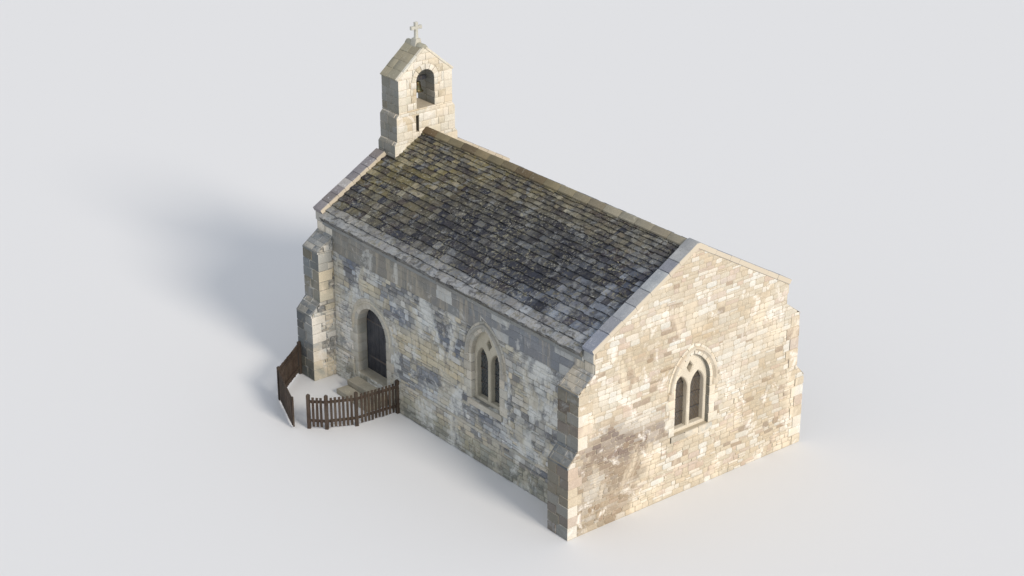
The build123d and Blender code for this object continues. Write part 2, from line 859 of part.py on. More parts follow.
# Gate leaf: stiles, rails and pales in one plane, and a brace
gate_start = gate_pivot_reach + gate_clear
gate_width = gate_run - gate_start
with BuildPart() as gate_leaf:
    with BuildSketch(gate_plane.offset(ground_gap)):
        with Locations(
            (gate_start + gate_stile / 2, 0), (gate_run - gate_stile / 2, 0),
        ):
            Rectangle(gate_stile, rail_thick)
    extrude(amount=pale_top - ground_gap)
    for height in rail_heights:
        with BuildSketch(gate_plane.offset(height)):
            with Locations((gate_start + gate_width / 2, 0)):
                Rectangle(gate_width - gate_stile, rail_thick)
        extrude(amount=rail_high)
    gate_clear_span = gate_width - 2 * gate_stile
    pale_count = int(gate_clear_span / pale_pitch)
    pale_step = gate_clear_span / pale_count
    with BuildSketch(gate_plane.offset(ground_gap)):
        with Locations(*[(gate_start + gate_stile + (number + 0.5) * pale_step, 0)
                         for number in range(pale_count)]):
            Rectangle(pale_width, pale_thick)
    extrude(amount=pale_top - ground_gap)
keep_part(gate_leaf.part, "gate_leaf")

with BuildPart() as gate_ironwork:
    for height in rail_heights:
        middle = height + rail_high / 2
        with BuildSketch(gate_plane.offset(middle - eye_height / 2)):
            with Locations((gate_pivot_reach, 0)):
                Circle(eye_radius)
        extrude(amount=eye_height)
        with BuildSketch(gate_plane.offset(middle - strap_high / 2)):
            with Locations(((gate_pivot_reach + gate_start) / 2, 0)):
                Rectangle(gate_clear, eye_wall)
        extrude(amount=strap_high)
        with BuildSketch(gate_plane.offset(middle - eye_height / 2)):
            with Locations((gate_pivot_reach, 0)):
                Circle(pin_radius + pin_play)
        extrude(amount=eye_height, mode=Mode.SUBTRACT)
keep_part(gate_ironwork.part, "gate_ironwork")

# Pins that carry the door and the gate, each on an arm from the jamb or the post
arm_end = pin_radius + arm_lip
jamb_reach = door_pivot[0] - door_west
post_reach = gate_pivot_reach - post_size / 2
with BuildPart() as hinge_pins:
    for bottom in eye_plane_z:
        with BuildSketch(Plane.XY.offset(bottom - pin_play - arm_thick)):
            with Locations((door_pivot[0] + (arm_end - jamb_reach) / 2, door_pivot[1])):
                Rectangle(jamb_reach + arm_end, pin_arm)
        extrude(amount=arm_thick)
        with BuildSketch(Plane.XY.offset(bottom - pin_play)):
            with Locations(door_pivot):
                Circle(pin_radius)
        extrude(amount=eye_height)
    for height in rail_heights:
        bottom = height + (rail_high - eye_height) / 2 - pin_play
        with BuildSketch(gate_plane.offset(bottom - arm_thick)):
            with Locations((gate_pivot_reach + (arm_end - post_reach) / 2, 0)):
                Rectangle(post_reach + arm_end, pin_arm)
        extrude(amount=arm_thick)
        with BuildSketch(gate_plane.offset(bottom)):
            with Locations((gate_pivot_reach, 0)):
                Circle(pin_radius)
        extrude(amount=eye_height)
keep_part(hinge_pins.part, "hinge_pins")

print("door pin", door_pivot)
print("gate pin", gate_plane.from_local_coords((gate_pivot_reach, 0, 0)))
print("bell pin", (cote_mid_x, 0, bell_pivot_z))
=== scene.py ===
import bpy
import random
from math import atan2, cos, hypot, pi, radians, sin, sqrt, tan
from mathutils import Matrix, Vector, noise


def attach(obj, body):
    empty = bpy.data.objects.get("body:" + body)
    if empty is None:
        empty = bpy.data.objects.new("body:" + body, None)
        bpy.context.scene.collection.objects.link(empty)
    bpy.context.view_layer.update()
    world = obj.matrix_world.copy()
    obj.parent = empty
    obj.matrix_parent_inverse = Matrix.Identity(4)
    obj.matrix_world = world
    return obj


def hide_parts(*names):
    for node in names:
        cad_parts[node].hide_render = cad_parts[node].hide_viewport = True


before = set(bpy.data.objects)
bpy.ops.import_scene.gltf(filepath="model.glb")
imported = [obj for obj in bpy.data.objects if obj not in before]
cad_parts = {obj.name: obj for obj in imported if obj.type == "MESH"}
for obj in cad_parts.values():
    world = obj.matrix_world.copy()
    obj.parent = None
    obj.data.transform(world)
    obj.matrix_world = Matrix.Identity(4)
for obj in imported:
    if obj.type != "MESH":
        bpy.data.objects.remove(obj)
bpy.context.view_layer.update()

# Lengths in metres. The chapel's ridge runs along x, east is +x, north is +y.
halfLength, halfWidth = 6.0, 3.3
wallTop = 4.74
pitch = radians(29.5)
slope = tan(pitch)
innerBay = 5.25  # where the corner buttresses start
roofEnd = 5.62  # where slates and ridge end against the copings
ridgeUnder = wallTop + halfWidth * slope
slateDepth = 0.148  # slates and their bed, square to the slope
copingHigh = 0.165
copingTop = ridgeUnder + slateDepth / cos(pitch) + 0.14
copingUnder = copingTop - copingHigh
copingOuter = 3.35
buttressTop = 4.315  # where the upper weathering meets the wall
buttressShed = buttressTop - 0.38
tuck = 0.014  # how far walling runs up under the weathering slabs
coteEast, coteMid, coteFoot = -5.2, -5.6, 5.985

up = (0, 0, 1)
axes = ((1, 0, 0), (0, 1, 0), up)


def faceAcross(x, side):
    # upright face turned east (1) or west (-1): a point on it, the way along it, up, and out
    return (x, 0, 0), (0, side, 0), up, (side, 0, 0)


def faceAlong(y, side, x=0):
    # the same for a face turned north (1) or south (-1)
    return (x, y, 0), (-side, 0, 0), up, (0, side, 0)


southFace, northFace = faceAlong(-halfWidth, -1), faceAlong(halfWidth, 1)
eastFace, westFace = faceAcross(halfLength, 1), faceAcross(-halfLength, -1)


def clamp(value):
    return min(1, max(0, value))


def near(value, low, high, soft):
    # 1 between low and high, fading to 0 beyond
    return clamp(min((value - low) / soft + 1, (high - value) / soft + 1))


# Colours
def shade(r, g, b):
    # screen colour to linear
    return tuple(c / 3294.6 if c <= 10.3 else ((c / 255 + 0.055) / 1.055) ** 2.4 for c in (r, g, b))


def shades(**colours):
    return {name: shade(*colour) for name, colour in colours.items()}


def mix(a, b, t):
    return tuple(x + (y - x) * t for x, y in zip(a, b))


def spread(tint, rng, amount=0.1):
    # a little lighter or darker, warmer or colder
    k = 1 + rng.uniform(-amount, amount)
    warm = rng.uniform(-0.03, 0.03)
    return (tint[0] * k * (1 + warm), tint[1] * k, tint[2] * k * (1 - warm))


# Outlines on a face, as lists of (along, up)
def box(u0, v0, u1, v1):
    return [(u0, v0), (u1, v0), (u1, v1), (u0, v1)]


def mirrored(half):
    # a shape from its right half, begun at its lower left corner
    return [(-half[0][0], half[0][1])] + half + [(-u, v) for u, v in half[:0:-1]]


def edgesOf(outline):
    # each edge's start and outward normal, for an outline that runs anticlockwise
    for a, b in zip(outline, outline[1:] + outline[:1]):
        run = hypot(b[0] - a[0], b[1] - a[1])
        if run > 1e-6:
            yield a, ((b[1] - a[1]) / run, (a[0] - b[0]) / run)


def cut(outline, a, n, slack):
    # keeps what lies behind the line through a with the outward normal n
    kept = []
    for p, q in zip(outline, outline[1:] + outline[:1]):
        dp = (p[0] - a[0]) * n[0] + (p[1] - a[1]) * n[1] + slack
        dq = (q[0] - a[0]) * n[0] + (q[1] - a[1]) * n[1] + slack
        if dp <= 0:
            kept.append(p)
        if (dp < 0) != (dq < 0) and abs(dp - dq) > 1e-9:
            t = dp / (dp - dq)
            kept.append((p[0] + (q[0] - p[0]) * t, p[1] + (q[1] - p[1]) * t))
    return kept


def spanOf(outline):
    us, vs = zip(*outline)
    return min(us), min(vs), max(us), max(vs)


def areaOf(outline):
    return sum(a[0] * b[1] - b[0] * a[1] for a, b in zip(outline, outline[1:] + outline[:1])) / 2


def anticlockwise(outline):
    return outline[::-1] if areaOf(outline) < 0 else outline


# Heaps of loose stones, boards and bars, each heap made into one object
def newHeap():
    return {"points": [], "faces": [], "tints": []}


def planeAt(face, shift=0.0):
    o, a, b, n = (Vector(v) for v in face)
    return lambda u, v, d=0.0: o + a * u + b * v + n * (d + shift)


def paint(heap, tint):
    # one tint for all the points that have none yet
    heap["tints"] += [(*tint, 1.0)] * (len(heap["points"]) - len(heap["tints"]))


def wrapFaces(heap, first, n, rows):
    # quads between rings of n points
    for a in range(first, first + rows * n, n):
        heap["faces"] += [(a + i, a + (i + 1) % n, a + n + (i + 1) % n, a + n + i) for i in range(n)]


def loftRings(heap, at, outline, rings, tint, backCap=False, rng=None, jitter=0.0):
    # a stone from rings of (inset, depth), the first one at its back
    n = len(outline)
    u0, v0, u1, v1 = spanOf(outline)
    cu, cv = sum(p[0] for p in outline) / n, sum(p[1] for p in outline) / n
    hu, hv = max(0.004, (u1 - u0) / 2), max(0.004, (v1 - v0) / 2)
    points, faces = heap["points"], heap["faces"]
    first = len(points)
    for number, (inset, depth) in enumerate(rings):
        fu, fv = max(0.2, 1 - inset / hu), max(0.2, 1 - inset / hv)
        for u, v in outline:
            lift = rng.uniform(-jitter, jitter) if rng and number > 1 else 0
            points.append(at(cu + (u - cu) * fu, cv + (v - cv) * fv, depth + lift))
    wrapFaces(heap, first, n, len(rings) - 1)
    last = len(points) - n
    points.append(at(cu, cv, rings[-1][1] + (rng.uniform(0, jitter) if rng else 0)))
    faces.extend((last + i, last + (i + 1) % n, len(points) - 1) for i in range(n))
    if backCap:
        points.append(at(cu, cv, rings[0][1]))
        faces.extend((first + (i + 1) % n, first + i, len(points) - 1) for i in range(n))
    paint(heap, tint)


def slab(heap, at, outline, back, front, bevel, tint, rng=None, jitter=0.0):
    rings = [(bevel, back), (0, back + bevel), (0, front - bevel), (bevel, front)]
    loftRings(heap, at, outline, rings, tint, True, rng, jitter)


def block(heap, corner, size, bevel, tint, rng=None, wear=0.0, ways=axes):
    # a squared block with broken edges, from one corner along three directions
    o, (a, b, c) = Vector(corner), (Vector(way) for way in ways)
    sx, sy, sz = size
    if a.cross(b).dot(c) < 0:
        o, a = o + a * sx, -a
    at = lambda u, v, d=0.0: o + a * u + b * v + c * d
    steps = 1 + int(sx / 0.35)
    outline = [(sx * i / steps, 0) for i in range(steps)] + [(sx, 0), (sx, sy)]
    outline += [(sx * i / steps, sy) for i in range(steps - 1, 0, -1)] + [(0, sy)]
    if rng:
        outline = [(u + rng.uniform(-wear, wear), v + rng.uniform(-wear, wear)) for u, v in outline]
    slab(heap, at, outline, 0, sz, bevel, tint, rng, wear * 0.6)


def toObject(heap, name, body, material, slot, *nodes, smooth=True):
    mesh = bpy.data.meshes.new(name)
    mesh.from_pydata([tuple(p) for p in heap["points"]], [], heap["faces"])
    layer = mesh.attributes.new("tint", "FLOAT_COLOR", "POINT")
    layer.data.foreach_set("color", [c for tint in heap["tints"] for c in tint])
    mesh.materials.append(material)
    if smooth:
        mesh.shade_smooth()
        mesh.set_sharp_from_angle(angle=radians(42))
    made = bpy.data.objects.new(name, mesh)
    bpy.context.scene.collection.objects.link(made)
    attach(made, body)
    if nodes:
        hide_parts(*nodes)


# Stones laid in courses
def roughOutline(u0, v0, u1, v1, look, rng):
    # a block's face with its corners knocked off and its long edges broken
    corners = box(u0, v0, u1, v1)
    rough, small = look["rough"], min(u1 - u0, v1 - v0)
    outline = []
    for a, b in zip(corners, corners[1:] + corners[:1]):
        run = hypot(b[0] - a[0], b[1] - a[1])
        start = rng.uniform(*look["corner"]) * small / run
        end = 1 - rng.uniform(*look["corner"]) * small / run
        count = 1 + int(run / 0.17)
        for i in range(count + 1):
            t = start + (end - start) * i / count
            outline.append((
                a[0] + (b[0] - a[0]) * t + rng.uniform(-rough, rough),
                a[1] + (b[1] - a[1]) * t + rng.uniform(-rough, rough),
            ))
    return outline


def wholeEnough(outline):
    # whether a cut stone is big enough to be laid
    if len(outline) < 3 or areaOf(outline) < 0.0013:
        return False
    u0, v0, u1, v1 = spanOf(outline)
    return min(u1 - u0, v1 - v0) > 0.026


def fitOutline(outline, region, holes, joint):
    # the parts of a stone that lie inside the region and clear of every hole
    for a, n in edgesOf(region):
        outline = cut(outline, a, n, joint / 2)
        if len(outline) < 3:
            return []
    parts = [outline]
    for hole in holes:
        h = spanOf(hole)
        kept = []
        for part in parts:
            u0, v0, u1, v1 = spanOf(part)
            if u1 < h[0] or u0 > h[2] or v1 < h[1] or v0 > h[3]:
                kept.append(part)
                continue
            rest, mid = part, ((u0 + u1) / 2, (v0 + v1) / 2)
            order = sorted(edgesOf(hole), key=lambda e: sum((e[0][k] - mid[k]) * e[1][k] for k in (0, 1)))
            for a, n in order[:5]:
                away = cut(rest, a, (-n[0], -n[1]), joint / 2)
                if wholeEnough(away):
                    kept.append(away)
                rest = cut(rest, a, n, 0)
                if len(rest) < 3 or areaOf(rest) < 0.001:
                    break
        parts = kept
    return [part for part in parts if wholeEnough(part)]


def layStones(heap, face, region, holes, look, tintOf, seed, shift=0.0):
    # courses of random height and stones of random length over a convex region
    rng = random.Random(seed)
    at = planeAt(face, shift)
    uLow, vLow, uHigh, vHigh = spanOf(region)
    gap, sway = look["joint"] / 2, look["sway"]
    v = vLow
    while v < vHigh - 0.02:
        high = min(rng.uniform(*look["course"]), vHigh - v)
        if vHigh - v - high < look["course"][0] * 0.6:
            high = vHigh - v
        u = uLow - rng.uniform(0, look["long"][1])
        while u < uHigh:
            long = rng.uniform(*look["long"]) * (0.75 + 0.5 * rng.random() * high / look["course"][1])
            cells = [(v, v + high)]
            if rng.random() < look["split"]:
                middle = v + high * rng.uniform(0.38, 0.62)
                cells = [(v, middle), (middle, v + high)]
            for low, top in cells:
                outline = roughOutline(u + gap, low + gap, u + long - gap, top - gap, look, rng)
                outline = [
                    (p[0] + sway * 0.5 * noise.noise((p[0] * 1.3, p[1] * 1.3, seed + 7.5)),
                     p[1] + sway * noise.noise((p[0] * 0.8, p[1] * 1.2, seed + 0.5)))
                    for p in outline
                ]
                for part in fitOutline(outline, region, holes, look["joint"]):
                    relief = rng.uniform(*look["relief"])
                    rings = [
                        (0, -0.02), (0, relief * 0.35), (look["soft"], relief),
                        (0.32 * min(top - low, long), relief + rng.uniform(0, look["bulge"])),
                    ]
                    tint = tintOf(u + long / 2, (low + top) / 2, rng)
                    loftRings(heap, at, part, rings, tint, False, rng, look["pock"])
            u += long
        v += high


# Pointed openings, given by centre, half width, sill, springing and rise
def pointedArc(half, rise, grow):
    # radius and set-back of the arcs of a pointed head, and the angle that each arc covers
    radius = (half * half + rise * rise) / (2 * half)
    back = radius - half
    reach = radius + grow
    return reach, back, atan2(sqrt(reach * reach - back * back), back)


def pointedOutline(opening, grow=0.0, foot=None):
    centre, half, spring = opening["centre"], opening["half"], opening["spring"]
    reach, back, sweep = pointedArc(half, opening["rise"], grow)
    steps = 9
    angles = [sweep * i / steps for i in range(steps + 1)]
    low = opening["sill"] - grow if foot is None else foot
    outline = [(centre - half - grow, low), (centre + half + grow, low)]
    outline += [(centre - back + reach * cos(a), spring + reach * sin(a)) for a in angles]
    return outline + [(centre + back - reach * cos(a), spring + reach * sin(a)) for a in angles[-2::-1]]


def liningStone(heap, at, outline, look, tintOf, place, rng):
    relief = rng.uniform(*look["relief"])
    rings = [(0, -look["sink"]), (0, relief * 0.3), (look["soft"], relief)]
    loftRings(heap, at, outline, rings, tintOf(*place, rng), False, rng, look["pock"])


def ringStones(heap, face, opening, look, tintOf, seed):
    # jamb blocks and arch stones that line an opening; returns the holes they fill in the walling
    rng = random.Random(seed)
    at = planeAt(face)
    centre, half, spring = opening["centre"], opening["half"], opening["spring"]
    holes = [pointedOutline(opening, look["arch"], foot=spring)]
    gap, lip = look["joint"] / 2, look["lip"]
    count = max(1, round((spring - opening["sill"]) / look["high"]))
    high = (spring - opening["sill"]) / count
    r0, back, sweep = pointedArc(half, opening["rise"], -lip)
    r1, _, outerSweep = pointedArc(half, opening["rise"], look["arch"])
    archCount = max(3, round(sweep * (r0 + r1) / 2 / look["voussoir"]))
    for side in (-1, 1):
        for i in range(count):
            wide = look["jambs"][(i + (side > 0)) % 2]
            low = opening["sill"] + i * high
            u0, u1 = sorted((centre + side * (half - lip), centre + side * (half + wide)))
            holes.append(box(u0, low, u1, low + high))
            left, right = u0 + gap * (side < 0), u1 - gap * (side > 0)
            outline = roughOutline(left, low + gap, right, low + high - gap, look, rng)
            liningStone(heap, at, outline, look, tintOf, (u0, low), rng)
        for i in range(archCount):
            a0, a1 = outerSweep * i / archCount, outerSweep * (i + 1) / archCount
            outline = []
            for radius in (r0, r1):
                start, end = a0 + gap / radius, a1 - gap / radius
                if radius == r1:
                    start, end = end, start
                for k in range(3):
                    a = start + (end - start) * k / 2
                    outline.append((centre + side * (radius * cos(a) - back), spring + radius * sin(a)))
            if side > 0:
                outline = outline[::-1]
            outline = cut(outline, (centre, 0), (-side, 0), gap)
            if len(outline) >= 3 and abs(areaOf(outline)) >= 0.0008:
                liningStone(heap, at, anticlockwise(outline), look, tintOf, (centre, spring), rng)
    return holes


# Materials
def feed(tree, sockets, values):
    # joins another node's output to a socket, or sets a plain value on it
    for key, value in values.items():
        if isinstance(value, bpy.types.NodeSocket):
            tree.links.new(value, sockets[key])
        elif value is not None:
            sockets[key].default_value = (*value, 1.0) if sockets[key].type == "RGBA" else value


def addNode(tree, kind, values, **settings):
    made = tree.nodes.new("ShaderNode" + kind)
    for name, value in settings.items():
        setattr(made, name, value)
    feed(tree, made.inputs, values)
    return made


def noiseNode(tree, source, scale, detail, rough, warp=0.0):
    values = {"Vector": source, "Scale": scale, "Detail": detail, "Roughness": rough, "Distortion": warp}
    return addNode(tree, "TexNoise", values).outputs["Fac"]


def rangeNode(tree, source, low, high, toLow=0.0, toHigh=1.0):
    values = {"Value": source, "From Min": low, "From Max": high, "To Min": toLow, "To Max": toHigh}
    return addNode(tree, "MapRange", values).outputs["Result"]


def mixNode(tree, share, a, b, kind="MIX"):
    made = addNode(tree, "Mix", {0: share, 6: a, 7: b}, data_type="RGBA", blend_type=kind)
    return made.outputs[2]


def timesNode(tree, colour, tone):
    return mixNode(tree, 1.0, colour, tone, "MULTIPLY")


def turnedNode(tree, axis, low, high, share):
    # grows to share on faces turned along one axis
    normal = addNode(tree, "NewGeometry", {}).outputs["Normal"]
    split = addNode(tree, "SeparateXYZ", {"Vector": normal})
    return rangeNode(tree, split.outputs[axis], low, high, 0.0, share)


def mappingNode(tree, source, scale, place=(0.0, 0.0, 0.0)):
    return addNode(tree, "Mapping", {"Vector": source, "Scale": scale, "Location": place}).outputs["Vector"]


def newMaterial(name):
    made = bpy.data.materials.new(name)
    made.use_nodes = True
    tree = made.node_tree
    coords = addNode(tree, "TexCoord", {}).outputs["Object"]
    return made, tree, tree.nodes["Principled BSDF"].inputs, coords


def bump(tree, surface, height, strength, distance):
    made = addNode(tree, "Bump", {"Height": height, "Strength": strength, "Distance": distance})
    feed(tree, surface, {"Normal": made.outputs["Normal"]})


def tintSocket(tree, look):
    # one colour for pieces shown as modelled, each stone's own tint for heaps
    if "flat" in look:
        made = addNode(tree, "RGB", {})
        made.outputs[0].default_value = (*look["flat"], 1.0)
        return made.outputs[0]
    return addNode(tree, "Attribute", {}, attribute_name="tint").outputs["Color"]


def stoneMaterial(name, look):
    made, tree, surface, coords = newMaterial(name)
    colour = tintSocket(tree, look)
    cloud = rangeNode(tree, noiseNode(tree, coords, look["cloud"], 3.0, 0.6), 0.3, 0.7)
    colour = mixNode(tree, cloud, timesNode(tree, colour, look["darker"]), colour)
    grain = noiseNode(tree, coords, look["grain"], 6.0, 0.7)
    dim = timesNode(tree, colour, (0.78, 0.78, 0.78))
    colour = mixNode(tree, rangeNode(tree, grain, 0.38, 0.62), dim, colour)
    # ragged patches of old limewash, soot and rain streaks
    for scale, tall, low, high, tone, share in look.get("patches", ()):
        stretched = mappingNode(tree, coords, (1.0, 1.0, tall), (scale * 3.7, low * 9.0, 0.0))
        ragged = noiseNode(tree, stretched, scale, 9.0, 0.68, 0.5)
        colour = mixNode(tree, rangeNode(tree, ragged, low, high, 0.0, share), colour, tone)
    for key in ("lichen", "moss"):  # in irregular spots, thicker in some places
        if key in look:
            scale, low, high, tone, share = look[key]
            spots = rangeNode(tree, noiseNode(tree, coords, scale, 5.0, 0.72, 0.6), low, high)
            place = noiseNode(tree, coords, scale * 0.13, 2.0, 0.5)
            place = rangeNode(tree, place, 0.4, 0.62, 0.0, share)
            amount = addNode(tree, "Math", {0: spots, 1: place}, operation="MULTIPLY").outputs[0]
            colour = mixNode(tree, amount, colour, tone)
    if "southPaintedShade" in look:  # faces turned to the south are painted darker and bluer: a painted shade
        share = turnedNode(tree, "Y", -0.35, -0.8, 0.9)
        colour = mixNode(tree, share, colour, timesNode(tree, colour, look["southPaintedShade"]))
    if "eastPaintedLight" in look:  # and those turned to the east are painted as pale as the gable: a painted sunlight
        colour = mixNode(tree, turnedNode(tree, "X", 0.55, 0.85, 0.85), colour, look["eastPaintedLight"])
    rough = rangeNode(tree, grain, 0.2, 0.8, look["rough"] - 0.08, look["rough"] + 0.08)
    feed(tree, surface, {"Base Color": colour, "Roughness": rough, "Specular IOR Level": 0.25})
    fine = noiseNode(tree, coords, look["grain"] * 0.45, 8.0, 0.75)
    bump(tree, surface, fine, look["bump"], look["bumpDepth"])
    return made


def woodMaterial(name, look):
    made, tree, surface, coords = newMaterial(name)
    grain = noiseNode(tree, mappingNode(tree, coords, look["stretch"]), look["grain"], 6.0, 0.65, 0.4)
    colour = mixNode(tree, rangeNode(tree, grain, 0.35, 0.65), look["dark"], look["light"])
    faded = rangeNode(tree, noiseNode(tree, coords, 2.3, 3.0, 0.5), 0.4, 0.7, 0.0, look["fadeShare"])
    colour = timesNode(tree, mixNode(tree, faded, colour, look["fade"]), tintSocket(tree, look))
    rough = rangeNode(tree, grain, 0.3, 0.7, look["rough"] + 0.1, look["rough"] - 0.1)
    feed(tree, surface, {"Base Color": colour, "Roughness": rough, "Specular IOR Level": 0.3})
    bump(tree, surface, grain, 0.5, 0.004)
    return made


def metalMaterial(name, look):
    made, tree, surface, coords = newMaterial(name)
    worn = noiseNode(tree, coords, look["patches"], 5.0, 0.65, 0.3)
    colour = mixNode(tree, rangeNode(tree, worn, 0.42, 0.62), look["base"], look["worn"])
    rough = rangeNode(tree, worn, 0.35, 0.7, look["rough"] - 0.12, look["rough"] + 0.15)
    feed(tree, surface, {"Base Color": colour, "Roughness": rough, "Metallic": look["metal"]})
    bump(tree, surface, noiseNode(tree, coords, 90.0, 4.0, 0.6), 0.3, 0.002)
    return made


def glassMaterial(name, look):
    made, tree, surface, coords = newMaterial(name)
    pane = addNode(tree, "TexVoronoi", {"Vector": coords, "Scale": 9.0}).outputs["Distance"]
    colour = mixNode(tree, pane, look["dark"], look["light"])
    # dust and a painted warm sunlight make the east panes browner
    colour = mixNode(tree, turnedNode(tree, "X", 0.6, 0.9, 0.7), colour, look["dustAndWarmLight"])
    feed(tree, surface, {
        "Base Color": colour, "Roughness": 0.12, "Metallic": 0.0, "Specular IOR Level": 0.6})
    bump(tree, surface, noiseNode(tree, coords, 14.0, 2.0, 0.5), 0.25, 0.01)
    return made


# patches: scale, height, from, to, tone and share; lichen and moss: scale, from, to, tone and share
southPatches = (
    (0.9, 0.8, 0.50, 0.57, shade(214, 215, 210), 0.8), (1.7, 0.8, 0.53, 0.60, shade(196, 190, 172), 0.6),
    (1.2, 0.6, 0.55, 0.63, shade(112, 116, 122), 0.6), (3.4, 0.25, 0.58, 0.68, shade(124, 122, 116), 0.45),
)
bandPatches = (
    (3.0, 0.16, 0.50, 0.62, shade(176, 168, 150), 0.6), (2.2, 0.3, 0.55, 0.64, shade(120, 122, 124), 0.6),
    (1.4, 0.8, 0.57, 0.64, shade(206, 206, 200), 0.6),
)
gablePatches = (
    (0.8, 0.8, 0.52, 0.62, shade(232, 218, 194), 0.7), (1.9, 0.9, 0.56, 0.64, shade(244, 238, 228), 0.7),
)
slatePatches = (
    (4.0, 1.0, 0.50, 0.60, shade(50, 50, 54), 0.7), (7.5, 1.0, 0.54, 0.62, shade(112, 108, 92), 0.7),
    (3.1, 1.0, 0.56, 0.63, shade(138, 140, 140), 0.6),
)
plainLook = {
    "cloud": 2.4, "darker": (0.8, 0.8, 0.8), "grain": 40.0, "rough": 0.85, "bump": 0.5, "bumpDepth": 0.006,
}
mortarLook = dict(plainLook, grain=60.0, rough=0.93, bump=0.7)
# the blue-grey that paints shade onto faces turned to the south
southShadeTone = (0.26, 0.29, 0.32)
materialLooks = {
    "walling": dict(
        plainLook, cloud=1.7, darker=(0.80, 0.81, 0.83), grain=34.0, rough=0.88, bump=0.55,
        bumpDepth=0.012, patches=southPatches, lichen=(9.0, 0.56, 0.66, shade(218, 216, 208), 0.6),
        moss=(14.0, 0.6, 0.7, shade(96, 96, 86), 0.5)),
    "band": dict(
        plainLook, cloud=1.2, darker=(0.82, 0.83, 0.84), rough=0.88, bump=0.4, bumpDepth=0.007,
        patches=bandPatches),
    "gable": dict(
        plainLook, cloud=1.1, darker=(0.90, 0.87, 0.83), grain=34.0, rough=0.87, bumpDepth=0.010,
        southPaintedShade=southShadeTone, patches=gablePatches, lichen=(10.0, 0.6, 0.7, shade(240, 234, 222), 0.5),
        moss=(12.0, 0.62, 0.72, shade(172, 148, 118), 0.4)),
    "dressed": dict(
        plainLook, cloud=2.1, darker=(0.84, 0.83, 0.81), rough=0.84, bump=0.4,
        lichen=(13.0, 0.58, 0.68, shade(212, 206, 186), 0.6),
        moss=(17.0, 0.6, 0.7, shade(110, 104, 84), 0.5)),
    "coping": dict(
        plainLook, cloud=3.1, darker=(0.80, 0.81, 0.84), grain=36.0, rough=0.86, bumpDepth=0.008,
        eastPaintedLight=shade(214, 201, 178), lichen=(11.0, 0.56, 0.66, shade(204, 206, 206), 0.7),
        moss=(15.0, 0.58, 0.68, shade(112, 106, 88), 0.6)),
    # the grey mortar is partly painted shade on the south side, the pale one partly painted sunlight on the
    # gables and bellcote
    "mortar": dict(mortarLook, patches=southPatches, flat=shade(150, 148, 141)),
    "paleSunlitMortar": dict(
        mortarLook, darker=(0.86, 0.85, 0.84), southPaintedShade=southShadeTone, flat=shade(206, 193, 170)),
    "slates": dict(
        plainLook, cloud=3.1, darker=(0.72, 0.74, 0.78), grain=22.0, rough=0.78, bump=0.6,
        bumpDepth=0.010, patches=slatePatches, lichen=(9.0, 0.55, 0.63, shade(150, 146, 124), 0.85),
        moss=(15.0, 0.57, 0.65, shade(190, 188, 176), 0.7)),
    "slateBed": dict(plainLook, cloud=3.1, darker=(0.7, 0.7, 0.7), grain=30.0, flat=shade(78, 74, 68)),
    "flags": dict(
        plainLook, cloud=1.6, darker=(0.75, 0.75, 0.75), grain=22.0, rough=0.7, bump=0.35,
        bumpDepth=0.005, flat=shade(142, 134, 118)),
}
stones = {name: stoneMaterial(name, look) for name, look in materialLooks.items()}

doorWoodLook = {
    "stretch": (9.0, 9.0, 0.7), "grain": 7.0, "dark": shade(44, 46, 52), "light": shade(74, 76, 82),
    "fade": shade(104, 104, 106), "fadeShare": 0.35, "rough": 0.62,
}
tintedLook = dict(doorWoodLook, light=shade(76, 78, 84), fade=shade(108, 108, 110), rough=0.6)
fenceWoodLook = {
    "stretch": (8.0, 8.0, 0.8), "grain": 9.0, "dark": shade(46, 38, 33), "light": shade(82, 68, 57),
    "fade": shade(102, 93, 82), "fadeShare": 0.35, "rough": 0.78,
}
doorWood = woodMaterial("doorBoards", dict(doorWoodLook, flat=(1.0, 1.0, 1.0)))
doorTinted = woodMaterial("doorTinted", tintedLook)
fenceWood = woodMaterial("fenceTimber", fenceWoodLook)
ironPaint = metalMaterial("forgedIron", {
    "patches": 14.0, "base": shade(96, 98, 102), "worn": shade(112, 100, 90), "metal": 0.6, "rough": 0.55})
bronze = metalMaterial("agedBronze", {
    "patches": 9.0, "base": shade(108, 88, 58), "worn": shade(84, 98, 80), "metal": 0.85, "rough": 0.45})
print("materials made")


# Tints of the walling, by place on each face. The south wall's greyer, bluer tones and the east gable's
# paler, warmer ones are partly painted shade and painted sunlight
southTones = shades(
    plain=(166, 165, 159), pale=(212, 212, 206), lime=(222, 224, 222), blue=(128, 134, 144),
    dark=(122, 124, 128), cream=(218, 206, 176), band=(149, 147, 140), plinth=(162, 160, 140),
    stain=(92, 96, 106), chalk=(250, 246, 236), bandEast=(143, 146, 150))
limeTones = ("lime", "cream", "pale", "chalk")
